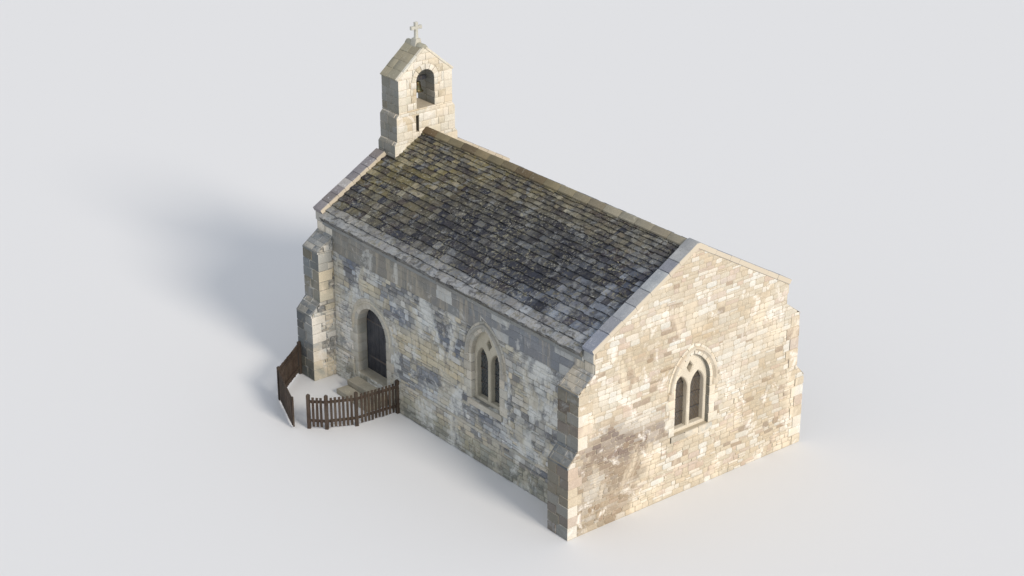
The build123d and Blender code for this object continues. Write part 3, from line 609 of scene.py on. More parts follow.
# where the south wall is limewashed, creamy, bluer or darker: centre, half sizes, tone and share
southPlaces = (
    # west of the door the lime, chalk-white and pale patches are limewash laid on so strongly that they also
    # paint light into the corner by the buttress
    (-4.9, 1.4, 0.9, 1.2, "lime", 1.0), (-4.75, 1.5, 0.7, 1.2, "chalk", 0.9),
    (-4.6, 2.7, 1.0, 0.4, "pale", 0.8), (-3.5, 3.35, 0.5, 0.22, "cream", 0.9),
    (-3.1, 3.85, 0.6, 0.25, "pale", 0.7), (-2.1, 2.95, 0.6, 0.3, "blue", 0.85),
    (0.1, 3.05, 0.9, 0.35, "blue", 0.85), (-0.9, 2.3, 2.0, 0.42, "cream", 0.9),
    (-0.4, 1.6, 1.6, 0.25, "blue", 0.7), (-0.1, 1.12, 1.5, 0.22, "lime", 0.85),
    (2.6, 1.12, 1.1, 0.22, "lime", 0.85), (3.1, 2.65, 0.3, 0.5, "cream", 0.7),
    # a dark blue-grey patch on the wall beside the south-east buttress
    (4.0, 3.5, 0.9, 0.5, "pale", 0.7), (5.05, 2.6, 0.55, 1.1, "stain", 0.95),
    (4.1, 0.9, 0.4, 0.6, "dark", 0.7), (0.3, 0.62, 4.6, 0.25, "cream", 0.5),
)
gableTones = shades(
    cream=(217, 205, 183), pale=(234, 229, 217), pink=(214, 198, 182), sand=(203, 187, 160),
    purple=(146, 131, 123), brown=(164, 145, 122))
# the same for the east gable
gablePlaces = (
    (1.0, 4.4, 1.1, 0.5, "sand", 0.6), (-1.9, 4.3, 1.0, 0.5, "sand", 0.6),
    (2.5, 2.3, 0.7, 0.9, "sand", 0.5), (-2.6, 2.0, 1.5, 0.9, "purple", 1.0),
    (-2.9, 1.0, 1.3, 1.1, "brown", 0.95), (-1.8, 2.7, 0.7, 0.35, "pale", 0.9),
    (-3.3, 1.2, 0.4, 0.5, "pale", 0.6), (1.4, 3.2, 0.8, 1.1, "pale", 0.8),
    (2.9, 3.9, 0.8, 0.8, "pale", 0.6), (-0.8, 3.6, 0.5, 0.4, "sand", 0.8),
    (-0.2, 5.3, 1.9, 0.6, "pale", 0.4), (-2.6, 3.6, 0.7, 0.5, "pale", 0.6),
    (2.6, 1.2, 1.4, 1.0, "sand", 0.4),
)


def placeShare(u, v, place, ragged):
    # how much of a place's tone counts here; ragged is the noise that frays its edge
    centreU, centreV, wide, tall, _, share = place
    away = hypot((u - centreU) / wide, (v - centreV) / tall) + 0.5 * noise.noise(ragged)
    return share * clamp(1.9 - 1.5 * away)


def southTint(x, z, rng):
    tones = southTones
    patch = noise.noise((x * 0.8, z * 1.3, 3.2)) + 0.5 * noise.noise((x * 2.3, z * 3.4, 8.1))
    tone = mix(tones["plain"], tones["pale"], clamp(patch * 1.5 + rng.uniform(-0.2, 0.35)))
    tone = mix(tone, tones["blue"], clamp(-patch * 1.6))
    wash = 0.0  # how far a wash of lime hides the stones' own tones
    for place in southPlaces:
        amount = placeShare(x, z, place, (x * 1.7, z * 2.6, 5.5))
        tone = mix(tone, tones[place[4]], amount)
        if place[4] in limeTones:
            wash = max(wash, amount)
    roll = rng.random()
    if roll < 0.16:
        tone = mix(tone, tones["dark"], 0.75 * (1 - 0.75 * wash))
    elif roll > 0.76:
        tone = mix(tone, tones["lime" if roll > 0.86 else "cream"], 0.6)
    if z < 0.6:
        tone = mix(tone, tones["plinth"], 0.6)
    return spread(tone, rng, 0.16 - 0.09 * wash)


def gableTint(y, z, rng):
    roll = rng.random()
    tone = gableTones["cream" if roll < 0.55 else "pale" if roll < 0.8 else "pink"]
    for place in gablePlaces:
        amount = placeShare(y, z, place, (y * 1.5, z * 2.0, 9.5))
        tone = mix(tone, gableTones[place[4]], amount * (0.6 + 0.4 * rng.random()))
    if roll > 0.96:
        tone = mix(tone, gableTones["brown"], 0.6)
    return spread(tone, rng, 0.035)


def bandTint(x, _, rng):
    # greyish beige to the west, mottled blue and white to the east
    tone = mix(southTones["band"], southTones["bandEast"], clamp((x + 1) / 4))
    if rng.random() < 0.3 * near(x, 0.5, 6, 1.5):
        tone = mix(tone, southTones["pale"], 0.7)
    return spread(tone, rng, 0.08)


def anyTint(dark, light, amount):
    # tints between two tones, whatever the place
    return lambda u, v, rng: spread(mix(shade(*dark), shade(*light), rng.random()), rng, amount)


dressedTint = anyTint((184, 181, 170), (212, 207, 194), 0.07)
weatheringTint = anyTint((168, 172, 174), (204, 202, 194), 0.08)
paleTint = anyTint((228, 218, 198), (240, 232, 216), 0.05)


# Walling
rubbleLook = {
    "course": (0.10, 0.19), "long": (0.17, 0.42), "split": 0.22, "joint": 0.013, "sway": 0.03,
    "relief": (0.008, 0.026), "rough": 0.006, "corner": (0.10, 0.26), "soft": 0.013, "bulge": 0.008,
    "pock": 0.003,
}
gableLook = dict(
    rubbleLook, course=(0.09, 0.17), long=(0.15, 0.42), split=0.10, relief=(0.003, 0.012),
    joint=0.009, sway=0.025, corner=(0.12, 0.30), bulge=0.006)
bandLook = dict(
    rubbleLook, course=(0.2, 0.26), long=(0.45, 0.85), split=0.0, joint=0.006, sway=0.008,
    relief=(0.004, 0.008), rough=0.002, corner=(0.02, 0.05), soft=0.006, bulge=0.002, pock=0.0012)
weatheringLook = dict(
    bandLook, course=(0.15, 0.22), long=(0.3, 0.5), relief=(0.008, 0.016), rough=0.003)
openingLook = {
    "arch": 0.27, "lip": 0.006, "high": 0.27, "jambs": (0.2, 0.32), "voussoir": 0.2, "sink": 0.118,
    "joint": 0.008, "relief": (0.010, 0.016), "soft": 0.010, "rough": 0.002, "corner": (0.03, 0.07),
    "pock": 0.0015,
}
quoinLook = {
    "high": 0.27, "legs": (0.42, 0.31), "sideLegs": (0.30, 0.44), "joint": 0.010,
    "relief": (0.010, 0.020), "soft": 0.012, "wear": 0.004,
}
bandHeights = (3.88, 4.53)
plinthTop, wallingFoot = 0.90, 0.95
doorGap = (-4.3, -2.6)  # where the plinth stops beside the door

windowShape = {"centre": 0.0, "half": 0.6, "sill": 1.75, "spring": 3.05, "rise": 0.85}
southWindow, northWindow = dict(windowShape, centre=1.72), dict(windowShape, centre=-1.72)
door = {"centre": -3.45, "half": 0.7, "sill": 0.5, "spring": 1.95, "rise": 0.72}

# the buttresses' two stages: how far they reach from the ridge line at the foot, at the top and
# at the drip; heights of the foot, the last quoin, and the weathering slab's two ends
buttressStages = (
    (4.1, 3.8, 4.13, 0.0, 1.99, 2.05, 2.40),
    (3.8, 3.3, 3.83, 2.40, buttressShed - 0.065, buttressShed, buttressTop),
)
buttressMid = (innerBay + halfLength) / 2


def sillStone(heap, face, opening, rng):
    # a sloping sill in three pieces under the window
    o, a, b, n = (Vector(v) for v in face)
    half, high, long = 0.72, 0.17, 0.48
    for i in range(3):
        start = opening["centre"] - half + i * long
        corner = o + a * (start + 0.003) + b * (opening["sill"] - high) + n * -0.02
        size = (long - 0.006, 0.066, high - 0.005)
        block(heap, corner, size, 0.012, dressedTint(0, 0, rng), rng, 0.003, (a, n, b))
    centre, sill = opening["centre"], opening["sill"]
    return box(centre - half, sill - high, centre + half, sill)


def quoins(heap, corner, alongA, alongB, low, top, tintOf, seed, flip):
    # corner blocks with long and short legs in turn; returns what they take of the second face
    look = quoinLook
    rng = random.Random(seed)
    count = max(1, round((top - low) / look["high"]))
    gap, z = look["joint"] / 2, low
    shares = [rng.uniform(0.8, 1.2) for _ in range(count)]
    taken = []
    for i, share in enumerate(shares):
        high = (top - low) * share / sum(shares)
        legA, legB = (look[key][(i + flip) % 2] for key in ("legs", "sideLegs"))
        proud = rng.uniform(*look["relief"])
        start = Vector((*corner, z + gap)) - (Vector(alongA) + Vector(alongB)) * proud
        size = (legA + proud - gap, legB + proud - gap, high - 2 * gap)
        tint = tintOf(corner[0] + alongA[0] * 0.1, z + high / 2, rng)
        block(heap, start, size, look["soft"], tint, rng, look["wear"], (alongA, alongB, up))
        taken.append((legB, z, z + high))
        z += high
    return taken


def quoinHoles(taken, sign):
    # what the quoins leave out of a face, as rectangles
    holes = []
    for reach, rows in taken:
        for leg, low, top in rows:
            u0, u1 = sorted((sign * reach, sign * (reach - leg)))
            holes.append(box(u0, low, u1, top))
    return holes


def buttressStones(heap, sideX, sideY, tintOf, seed):
    # one corner buttress; its side on the gable is laid with the gable itself
    rng = random.Random(seed)
    takenOut, takenIn = [], []
    for reach, _, _, foot, quoinTop, _, _ in buttressStages:
        sides = ((halfLength, -sideX, takenOut), (innerBay, sideX, takenIn))
        for flip, (x, way, taken) in enumerate(sides):
            rows = quoins(heap, (sideX * x, sideY * reach), (way, 0, 0), (0, -sideY, 0), foot, quoinTop,
                          tintOf, seed + flip, flip)
            taken.append((reach, rows))
    # the side towards the bay
    face = faceAcross(sideX * innerBay, -sideX)
    sign = -sideX * sideY
    holes = quoinHoles(takenIn, sign)
    for reach, inside, _, foot, _, shed, top in buttressStages:
        points = anticlockwise([
            (sign * halfWidth, foot), (sign * reach, foot), (sign * reach, shed + tuck),
            (sign * inside, top + tuck), (sign * halfWidth, top + tuck)])
        layStones(heap, face, points, holes, rubbleLook, tintOf, seed + 11 + int(reach * 10))
    # sloping tops in broad slabs, with their drips
    look = dict(weatheringLook, relief=(0.012, 0.018), rough=0.002)
    half = 0.378
    for _, inside, edge, _, _, shed, top in buttressStages:
        run = hypot(edge - inside, top - shed)
        rise, depth = (top - shed) / run, (edge - inside) / run
        face = ((sideX * buttressMid, sideY * (edge - tuck), shed), (-sideY, 0, 0),
                (0, -sideY * depth, rise), (0, sideY * rise, depth))
        layStones(heap, face, box(-half, 0.006, half, run), [], look, weatheringTint, seed + 23)
        for i in range(2):
            corner = (sideX * buttressMid - half + i * 0.38, sideY * (edge + 0.0003), shed - 0.062)
            ways = ((1, 0, 0), (0, -sideY, 0), up)
            block(heap, corner, (0.374, 0.05, 0.064), 0.004, weatheringTint(0, 0, rng), ways=ways)
    return takenOut


def buildLongWall(name, face, sideY, window, seed):
    heap, trim, band = newHeap(), newHeap(), newHeap()
    rng = random.Random(seed)
    holes = ringStones(trim, face, window, openingLook, dressedTint, seed + 1)
    holes += [sillStone(trim, face, window, rng), pointedOutline(window)]
    plinthRuns = [(-innerBay, innerBay)]
    if sideY < 0:
        look = dict(openingLook, arch=0.30, jambs=(0.22, 0.36), voussoir=0.24, sink=0.30)
        holes += ringStones(trim, face, door, look, dressedTint, seed + 2)
        doorFoot = box(doorGap[0], 0, doorGap[1], door["sill"])
        holes += [pointedOutline(door), doorFoot]
        plinthRuns = [(-innerBay, doorGap[0]), (doorGap[1], innerBay)]
    low, top = bandHeights
    layStones(heap, face, box(-innerBay, wallingFoot, innerBay, low), holes, rubbleLook, southTint, seed + 3)
    layStones(band, face, box(-innerBay, low, innerBay, top), holes, bandLook, bandTint, seed + 4)
    look = dict(bandLook, long=(0.3, 0.5))
    for side in (-1, 1):  # over the buttresses, up to the kneelers
        for inner, outer, top in ((innerBay, roofEnd, 4.515), (roofEnd, halfLength - 0.008, 4.573)):
            u0, u1 = sorted((side * inner, side * outer))
            layStones(band, face, box(u0, buttressTop, u1, top), [], look, paleTint, seed + 7 + side)
    toObject(band, name + "Band", "chapel", stones["band"], "dressed_stone")
    # the plinth with its chamfered top
    proud, half = 0.04, 0.7071
    chamfer = ((0, face[0][1] + sideY * proud, plinthTop + 0.01), face[1],
               (0, -sideY * half, half), (0, sideY * half, half))
    look = dict(weatheringLook, course=(0.08, 0.09))
    for i, (u0, u1) in enumerate(plinthRuns):
        layStones(heap, face, box(u0, 0, u1, plinthTop), [], rubbleLook, southTint, seed + 5 + i, proud)
        layStones(trim, chamfer, box(u0, -0.012, u1, 0.065), [], look, dressedTint, seed + 8 + i)
    if sideY < 0:
        layStones(heap, face, doorFoot, [], rubbleLook, southTint, seed + 15)
    toObject(heap, name, "chapel", stones["walling"], "rubble_stone")
    toObject(trim, name + "Trim", "chapel", stones["dressed"], "dressed_stone")


def buildGable(name, face, sideX, seed):
    heap, trim = newHeap(), newHeap()
    holes = []
    for sideY in (-1, 1):
        tintOf = gableTint if sideX > 0 else southTint
        taken = buttressStones(trim, sideX, sideY, tintOf, seed + 30 + sideY * 3)
        holes += quoinHoles(taken, sideX * sideY)
    peak = (1.36, coteFoot)  # the west gable ends under the bellcote
    if sideX > 0:
        peak = (0, copingUnder)
        holes += ringStones(trim, face, windowShape, openingLook, paleTint, seed + 1)
        holes += [sillStone(trim, face, windowShape, random.Random(seed)), pointedOutline(windowShape)]
    shed, top = buttressShed + tuck, buttressTop + tuck
    corner = copingUnder - halfWidth * slope
    lower = mirrored([(4.1, 0), (4.1, 2.064), (3.812, 2.4)])
    middle = mirrored([(3.8, 2.4), (3.8, shed), (halfWidth, top)])
    upper = mirrored([(halfWidth, top), (halfWidth, corner), peak])
    footLook = dict(gableLook, split=0.22, relief=(0.004, 0.017), sway=0.035)
    for i, (region, look) in enumerate(((lower, footLook), (middle, gableLook), (upper, gableLook))):
        layStones(heap, face, region, holes, look, gableTint, seed + 4 + i)
    toObject(heap, name, "chapel", stones["gable"], "rubble_stone")
    toObject(trim, name + "Trim", "chapel", stones["gable"], "dressed_stone")


buildLongWall("southStones", southFace, -1, southWindow, 11)
buildLongWall("northStones", northFace, 1, northWindow, 61)
buildGable("eastStones", eastFace, 1, 101)
buildGable("westStones", westFace, -1, 151)
print("walling laid")


# Roof slates in courses that get shorter towards the ridge
slateLook = {
    "courses": 20, "low": 0.29, "high": 0.14, "overhang": 0.10, "bed": 0.12, "lap": 0.028, "gap": 0.006,
    "thick": (0.008, 0.024), "wide": (0.65, 1.5), "tilt": 0.012, "ragged": 0.020, "least": 0.09,
}
slateTones = shades(
    olive=(122, 112, 76), beige=(168, 158, 130), brown=(90, 68, 60), dark=(50, 52, 60),
    blue=(82, 88, 102), pale=(158, 164, 172), eaves=(172, 172, 170), under=(104, 102, 96))
eavesEdge = halfWidth + slateLook["overhang"]
slateRun = eavesEdge / cos(pitch)


def slateTone(x, t, rng):
    # olive to the upper west, dark in the middle, pale towards the east eaves
    tones = slateTones
    patch = 0.5 * noise.noise((x * 0.5, t * 3.0, 4.4)) + 0.9 * noise.noise((x * 2.4, t * 11.0, 7.7))
    roll = rng.gauss(0.5, 0.2) + patch * 0.55
    west = clamp(0.5 - x / 9 + (t - 0.45) * 0.9)
    tone = mix(tones["dark"], mix(tones["blue"], tones["brown"], rng.random()), clamp(roll * 1.3))
    tone = mix(tone, mix(tones["blue"], tones["olive"], west), clamp((roll - 0.30) * 3))
    tone = mix(tone, mix(tones["pale"], tones["beige"], west), clamp((roll - 0.68) * 3.2))
    tone = mix(tone, tones["dark"], 0.68 * (near(x, -1.5, 3.0, 1.5) * near(t, 0.25, 0.65, 0.2)))
    if x > 3.2 and t < 0.4:
        tone = mix(tone, tones["pale"], 0.75 * rng.random())
    elif 0.1 < t < 0.3:
        tone = mix(tone, tones["dark"], 0.4 * rng.random())
    if t > 0.7:
        tone = mix(tone, tones["beige"], 0.42 * rng.random() * near(x, -4.5, 3.5, 2.0))
    if t < 0.1:
        tone = mix(tone, tones["eaves"], 0.8 - t * 3)
    return spread(tone, rng, 0.16)


def slate(heap, at, side, x0, x1, r0, r1, top, rng):
    # one slate between x0 and x1 that shows from r0 to r1 up the slope; its lower edge is broken
    look = slateLook
    expo = r1 - r0
    thick = rng.uniform(*look["thick"])
    tip, twist = rng.uniform(0, look["tilt"]), rng.uniform(-look["tilt"], look["tilt"]) * 0.5
    low = r0 - 0.012 + rng.uniform(-0.02, 0.014)
    if r0 == 0:
        low = max(low, -0.022)
    count = 4
    cutLeft, cutRight = rng.uniform(0, 0.022), rng.uniform(0, 0.022)
    lifts = [cutLeft] + [rng.uniform(0, look["ragged"]) for _ in range(count - 1)] + [cutRight]
    edge = [(x0 + (x1 - x0) * (i / count), low + lift) for i, lift in enumerate(lifts)]
    base = look["bed"] + look["lap"] + 0.001
    first, n = len(heap["points"]), count + 1
    for layer in (0, 1):
        for ends, body, lift in (
            ([r for _, r in edge], thick + 0.010 + tip, 0.003), ([top] * n, thick * 0.7 + 0.010, 0.0),
        ):
            for (x, _), r in zip(edge, ends):
                t = (x - x0) / (x1 - x0) - 0.5
                depth = base - look["lap"] * (r - r0) / expo - 0.010
                if layer:
                    r, depth = r + lift, depth + (body + twist * t)
                heap["points"].append(at(-side * x, r, depth))
    faces = []
    for i in range(count):
        faces.append((2 * n + i, 2 * n + i + 1, 3 * n + i + 1, 3 * n + i))
        faces.append((i, i + 1, 2 * n + i + 1, 2 * n + i))
    faces += [(n, 0, 2 * n, 3 * n), (count, n + count, 3 * n + count, 2 * n + count)]
    heap["faces"] += [tuple(first + k for k in (face[::-1] if side > 0 else face)) for face in faces]


def buildSlates(name, side, seed):
    look = slateLook
    rng = random.Random(seed)
    heap = newHeap()
    last = look["courses"] - 1
    weights = [look["low"] + (look["high"] - look["low"]) * i / last for i in range(last + 1)]
    starts = [0.0]
    for weight in weights:
        starts.append(starts[-1] + weight * slateRun / sum(weights))
    upWay, outWay = (0, -side * cos(pitch), sin(pitch)), (0, side * sin(pitch), cos(pitch))
    foot = (0, side * eavesEdge, wallTop - look["overhang"] * slope)
    at = planeAt((foot, (-side, 0, 0), upWay, outWay))
    for course, (r0, r1) in enumerate(zip(starts, starts[1:])):
        yTop = eavesEdge - r1 * cos(pitch)
        # one course ends partly against the bellcote's foot, those above it wholly
        beside = yTop < 1.1 < yTop + (r1 - r0) * cos(pitch)
        x = coteEast + 0.01 if yTop < 1.1 and not beside else -roofEnd
        while x < roofEnd - 0.01:
            wide = rng.uniform(*look["wide"]) * max(r1 - r0, 0.17)
            if beside and x < coteEast and x + wide > coteEast - look["least"]:
                wide = coteEast + 0.01 - x
            if roofEnd - x - wide < look["least"]:
                wide = roofEnd - x
            x0, x1 = x + look["gap"] / 2, x + wide - look["gap"] / 2
            top = min(r1 + 0.03, slateRun - 0.004)
            if beside and x0 < coteEast:
                top = min(top, (eavesEdge - 1.103) / cos(pitch))
            slate(heap, at, side, x0, x1, r0, r1, top, rng)
            paint(heap, slateTone(x0, course / last, rng))
            x += wide
    tail = roofEnd + 0.005
    for layer in range(4):  # edges of the slates bedded under the first course
        x = -tail
        while x < tail - 0.01:
            long = rng.uniform(0.3, 0.62)
            if tail - x - long < 0.15:
                long = tail - x
            deep = 0.2 if x == -tail or x + long > tail - 0.01 else 0.05
            corner = at(-side * (x + 0.002), -rng.uniform(0.005, 0.014), 0.005 + layer * 0.0355)
            tone = mix(slateTones["under"], slateTones["eaves"], rng.uniform(0, 0.45))
            tone = spread(tone, rng, 0.14)
            block(heap, corner, (long - 0.004, deep, 0.033), 0.004, tone, rng, 0.002,
                  ((1, 0, 0), upWay, outWay))
            x += long
    toObject(heap, name, "chapel", stones["slates"], "roof_slate")


buildSlates("slatesSouth", -1, 301)
buildSlates("slatesNorth", 1, 302)
print("slates laid")


# Eaves courses: squared blocks under the slates on both long walls
eavesLook = {
    "long": (0.42, 0.72), "least": 0.2, "joint": 0.004, "bevel": 0.005, "tone": shade(150, 152, 150),
    "section": [(3.29, 4.515), (3.302, 4.512), (3.376, 4.585), (3.378, 4.70), (3.29, 4.75)],
}


def runSlab(heap, x, ends, side, section, bevel, tint, rng, jitter):
    # a slab along the ridge's way with its section in y and z, mirrored for the south side
    at = lambda u, v, d=0.0: Vector((x + d, side * u, v))
    slab(heap, at, section[::side], *ends, bevel, tint, rng, jitter)


def buildEaves():
    look = eavesLook
    heap = newHeap()
    rng = random.Random(331)
    gap = look["joint"] / 2
    for side in (-1, 1):
        x = -roofEnd
        while x < roofEnd - 0.02:
            long = min(rng.uniform(*look["long"]), roofEnd - x)
            if roofEnd - x - long < look["least"]:
                long = roofEnd - x
            tint = spread(look["tone"], rng, 0.08)
            runSlab(heap, x, (gap, long - gap), side, look["section"], look["bevel"], tint, rng, 0.001)
            x += long
    toObject(heap, "eavesStones", "chapel", stones["dressed"], "dressed_stone")


buildEaves()

# Ridge stones, copings and kneelers
ridgeLook = {
    "long": 0.6, "leg": 0.172, "thick": 0.060, "west": shade(112, 96, 74), "plain": shade(140, 130, 104),
    "east": shade(172, 168, 152),
}


def buildRidge():
    look = ridgeLook
    rng = random.Random(341)
    heap = newHeap()
    seat = ridgeUnder + slateDepth / cos(pitch) + 0.012
    span = roofEnd - coteEast
    count = round(span / look["long"])
    run = look["leg"] * cos(pitch)
    side, crown = look["thick"] * 0.8, look["thick"] * 1.12
    stone = mirrored([
        (run, seat - run * slope + 0.004), (run + 0.004, seat - run * slope + side),
        (run * 0.45, seat - run * 0.45 * slope + crown), (run * 0.16, seat + crown)])
    stone.insert(1, (0, seat + 0.004))
    n = len(stone)
    for i in range(count):
        x0 = coteEast + span * i / count + 0.004
        long = span / count - 0.008
        lift, lean = rng.uniform(0, 0.008), rng.uniform(-0.006, 0.006)
        section = [(y + lean, z + lift + rng.uniform(-0.003, 0.003)) for y, z in stone]
        first = len(heap["points"])
        for d, k in ((0.0, 0.94), (0.012, 1.0), (long / 2, 1.004), (long - 0.012, 1.0), (long, 0.94)):
            for y, z in section:
                heap["points"].append(Vector((x0 + d, y * k, seat - 0.02 + (z - seat + 0.02) * k)))
        wrapFaces(heap, first, n, 4)
        for a, turn in ((first, -1), (first + 4 * n, 1)):
            for tri in ((0, 1, 8), (1, 7, 8), (1, 6, 7), (1, 5, 6), (1, 4, 5), (1, 3, 4), (1, 2, 3)):
                heap["faces"].append(tuple(a + k for k in tri[::turn]))
        tone = mix(look["west"], look["plain"], rng.random())
        tone = mix(tone, look["east"], near(x0, 3.2, 6, 3.0) * rng.uniform(0.6, 0.9))
        paint(heap, spread(tone, rng, 0.14))
    toObject(heap, "ridgeRow", "chapel", stones["dressed"], "dressed_stone", "ridge_stones")


copingLook = {
    "wide": 0.398, "bevel": 0.014, "thick": copingHigh * cos(pitch), "kneeler": shade(190, 188, 180),
    # the east copings' blue-grey tones partly paint the shade on their tops
    "east": (shade(158, 162, 170), shade(166, 170, 175), shade(180, 182, 182), shade(150, 154, 164)),
    "west": (shade(164, 152, 148), shade(150, 144, 144), shade(176, 168, 160), shade(140, 134, 132),
             shade(184, 180, 176)),
}


def rakeBlocks(heap, side, x0, inner, count, tones, rng):
    # coping stones up one rake, between its foot and a distance from the ridge
    look = copingLook
    run = (copingOuter - inner) / cos(pitch)
    upWay = Vector((0, -side * cos(pitch), sin(pitch)))
    outWay = Vector((0, side * sin(pitch), cos(pitch)))
    foot = Vector((x0, side * copingOuter, copingUnder - copingOuter * slope))
    shifts = [rng.uniform(-0.2, 0.2) if 0 < i < count else 0 for i in range(count + 1)]
    cuts = [run * (i + shift) / count for i, shift in enumerate(shifts)]
    for a, b in zip(cuts, cuts[1:]):
        corner = foot + upWay * (a + 0.003) + outWay * rng.uniform(-0.002, 0.003)
        size = (look["wide"], b - a - 0.006, look["thick"] + rng.uniform(-0.003, 0.003))
        tint = spread(rng.choice(tones), rng, 0.07)
        block(heap, corner, size, look["bevel"], tint, rng, 0.003, (axes[0], upWay, outWay))


def buildCopings():
    look = copingLook
    rng = random.Random(351)
    heap = newHeap()
    for side in (-1, 1):
        rakeBlocks(heap, side, roofEnd + 0.003, 0.07, 7, look["east"], rng)
    top, run = copingUnder + copingHigh, 0.30  # the apex stone
    section = mirrored([
        (run, copingUnder - run * slope + 0.02), (run, top - run * slope + 0.010), (0.05, top - 0.016)])
    section.insert(1, (0, copingUnder + 0.02))
    tint = spread(look["east"][2], rng, 0.05)
    runSlab(heap, roofEnd, (0.0, 0.404), 1, section, 0.012, tint, rng, 0.002)
    toObject(heap, "copingEast", "chapel", stones["coping"], "dressed_stone", "coping_east")
    heap = newHeap()
    for side in (-1, 1):
        rakeBlocks(heap, side, -roofEnd - 0.402, 1.1, 8, look["west"], rng)
    toObject(heap, "copingWest", "chapel", stones["coping"], "dressed_stone",
             "coping_west_south", "coping_west_north")
    heap = newHeap()
    top = copingUnder - copingOuter * slope
    section = [(3.25, top - 0.33), (3.3, top - 0.28), (copingOuter, top - 0.23),
               (copingOuter, top - 0.002), (3.25, top + 0.054)]
    for x0 in (roofEnd, -halfLength):
        for side in (-1, 1):
            tint = spread(look["kneeler"], rng, 0.05)
            runSlab(heap, x0, (0.0, 0.38), side, section, 0.012, tint, rng, 0.002)
    toObject(heap, "kneelerStones", "chapel", stones["coping"], "dressed_stone", "kneelers")
    print("ridge and copings laid")


buildRidge()
buildCopings()

# Bellcote
coteLook = {
    "course": (0.2, 0.26), "long": (0.22, 0.42), "split": 0.0, "joint": 0.006, "sway": 0.0,
    "relief": (0.005, 0.010), "rough": 0.002, "corner": (0.03, 0.08), "soft": 0.008, "bulge": 0.003,
    "pock": 0.0015, "high": 0.24, "legsX": (0.36, 0.22), "legsY": (0.22, 0.36), "wear": 0.002,
}
coteRoofLook = {
    "courses": 4, "west": -6.018, "deep": 0.737, "verge": 0.096, "long": (0.28, 0.42), "thick": 0.066,
    "gap": 0.002, "bevel": 0.009, "edge": 0.02, "slab": shade(166, 160, 140), "pale": shade(236, 230, 214),
    "crest": shade(184, 180, 162), "saddle": shade(206, 202, 188), "cross": shade(214, 212, 200),
}
coteHalves = (1.1, 1.02, 0.935)  # half widths of its stages, from the gable up
offsets = (6.5, 7.3)  # heights of the two sloping offsets between them
offsetHigh = 0.1
piersFoot, archFoot, coteShoulder, coteApex = 7.45, 8.1, 8.4, 9.18
coteDepth = 0.4  # half its depth along the ridge
coteOpening = {"centre": 0.0, "half": 0.32, "sill": piersFoot, "spring": 8.25, "rise": 0.32}
niche = {"centre": 0.0, "half": 0.175, "sill": piersFoot, "spring": 7.92, "rise": 0.175}
coteSlope = (coteApex - coteShoulder) / coteHalves[2]
coteEdges = ((1, faceAcross(coteEast, 1)), (-1, westFace))


def coteTint(u, v, rng):
    tone = mix(shade(232, 223, 202), shade(246, 240, 227), rng.random())
    if rng.random() < 0.09:
        tone = shade(222, 208, 182)
    return spread(tone, rng, 0.05)


def coteStage(heap, half, low, top, holes, seed, legX=None):
    # one stage in level rows: corner stones with long and short legs in turn, and the rows between them
    rng = random.Random(seed)
    look = coteLook
    if legX:
        look = dict(look, legsX=(legX, legX), legsY=(0.28, 0.235))
    count = max(1, round((top - low) / look["high"]))
    gap = look["joint"] / 2
    shifts = [rng.uniform(-0.02, 0.02) if 0 < i < count else 0 for i in range(count + 1)]
    levels = [low + (top - low) * i / count + shift for i, shift in enumerate(shifts)]
    for i, (z0, z1) in enumerate(zip(levels, levels[1:])):
        legX, legY = look["legsX"][i % 2], look["legsY"][i % 2]
        for sideX, x in ((1, coteEast), (-1, -halfLength)):
            for sideY in (-1, 1):
                proud = rng.uniform(*look["relief"])
                corner = (x + sideX * proud, sideY * (half + proud), z0 + gap)
                size = (legX + proud - gap, legY + proud - gap, z1 - z0 - 2 * gap)
                block(heap, corner, size, look["soft"], coteTint(0, 0, rng), rng, look["wear"],
                      ((-sideX, 0, 0), (0, -sideY, 0), up))
        row = dict(look, course=(z1 - z0, z1 - z0))
        for sideX, face in coteEdges:
            layStones(heap, face, box(-half + legY, z0, half - legY, z1), holes[sideX], row, coteTint,
                      seed + i * 5 + sideX)
        clear = coteDepth - legX
        if clear > 0.02:
            for sideY in (-1, 1):
                layStones(heap, faceAlong(sideY * half, sideY, coteMid), box(-clear, z0, clear, z1), [],
                          row, coteTint, seed + i * 5 + 3)


def nicheStones(heap, sideY):
    # the back of a round-headed niche in a pier, and the spandrels beside its head
    face = faceAlong(sideY * coteHalves[2], sideY, coteMid)
    back = (tuple(Vector(face[0]) - Vector(face[3]) * 0.09), *face[1:])
    look = dict(coteLook, course=(0.2, 0.22))
    layStones(heap, back, pointedOutline(niche, -0.003), [], look, coteTint, 411 + sideY)
    reach, edge, spring = niche["half"] + 0.003, 0.222, niche["spring"]
    for side in (-1, 1):
        outline = [(side * reach, spring), (side * edge, spring), (side * edge, archFoot), (0.0, archFoot)]
        outline += [(side * reach * sin(a), spring + reach * cos(a)) for a in (0.3, 0.6, 0.9, 1.25)]
        tint = coteTint(0, 0, random.Random(side + 5))
        loftRings(heap, planeAt(face), anticlockwise(outline), [(0, -0.085), (0, 0.003), (0.006, 0.007)],
                  tint)


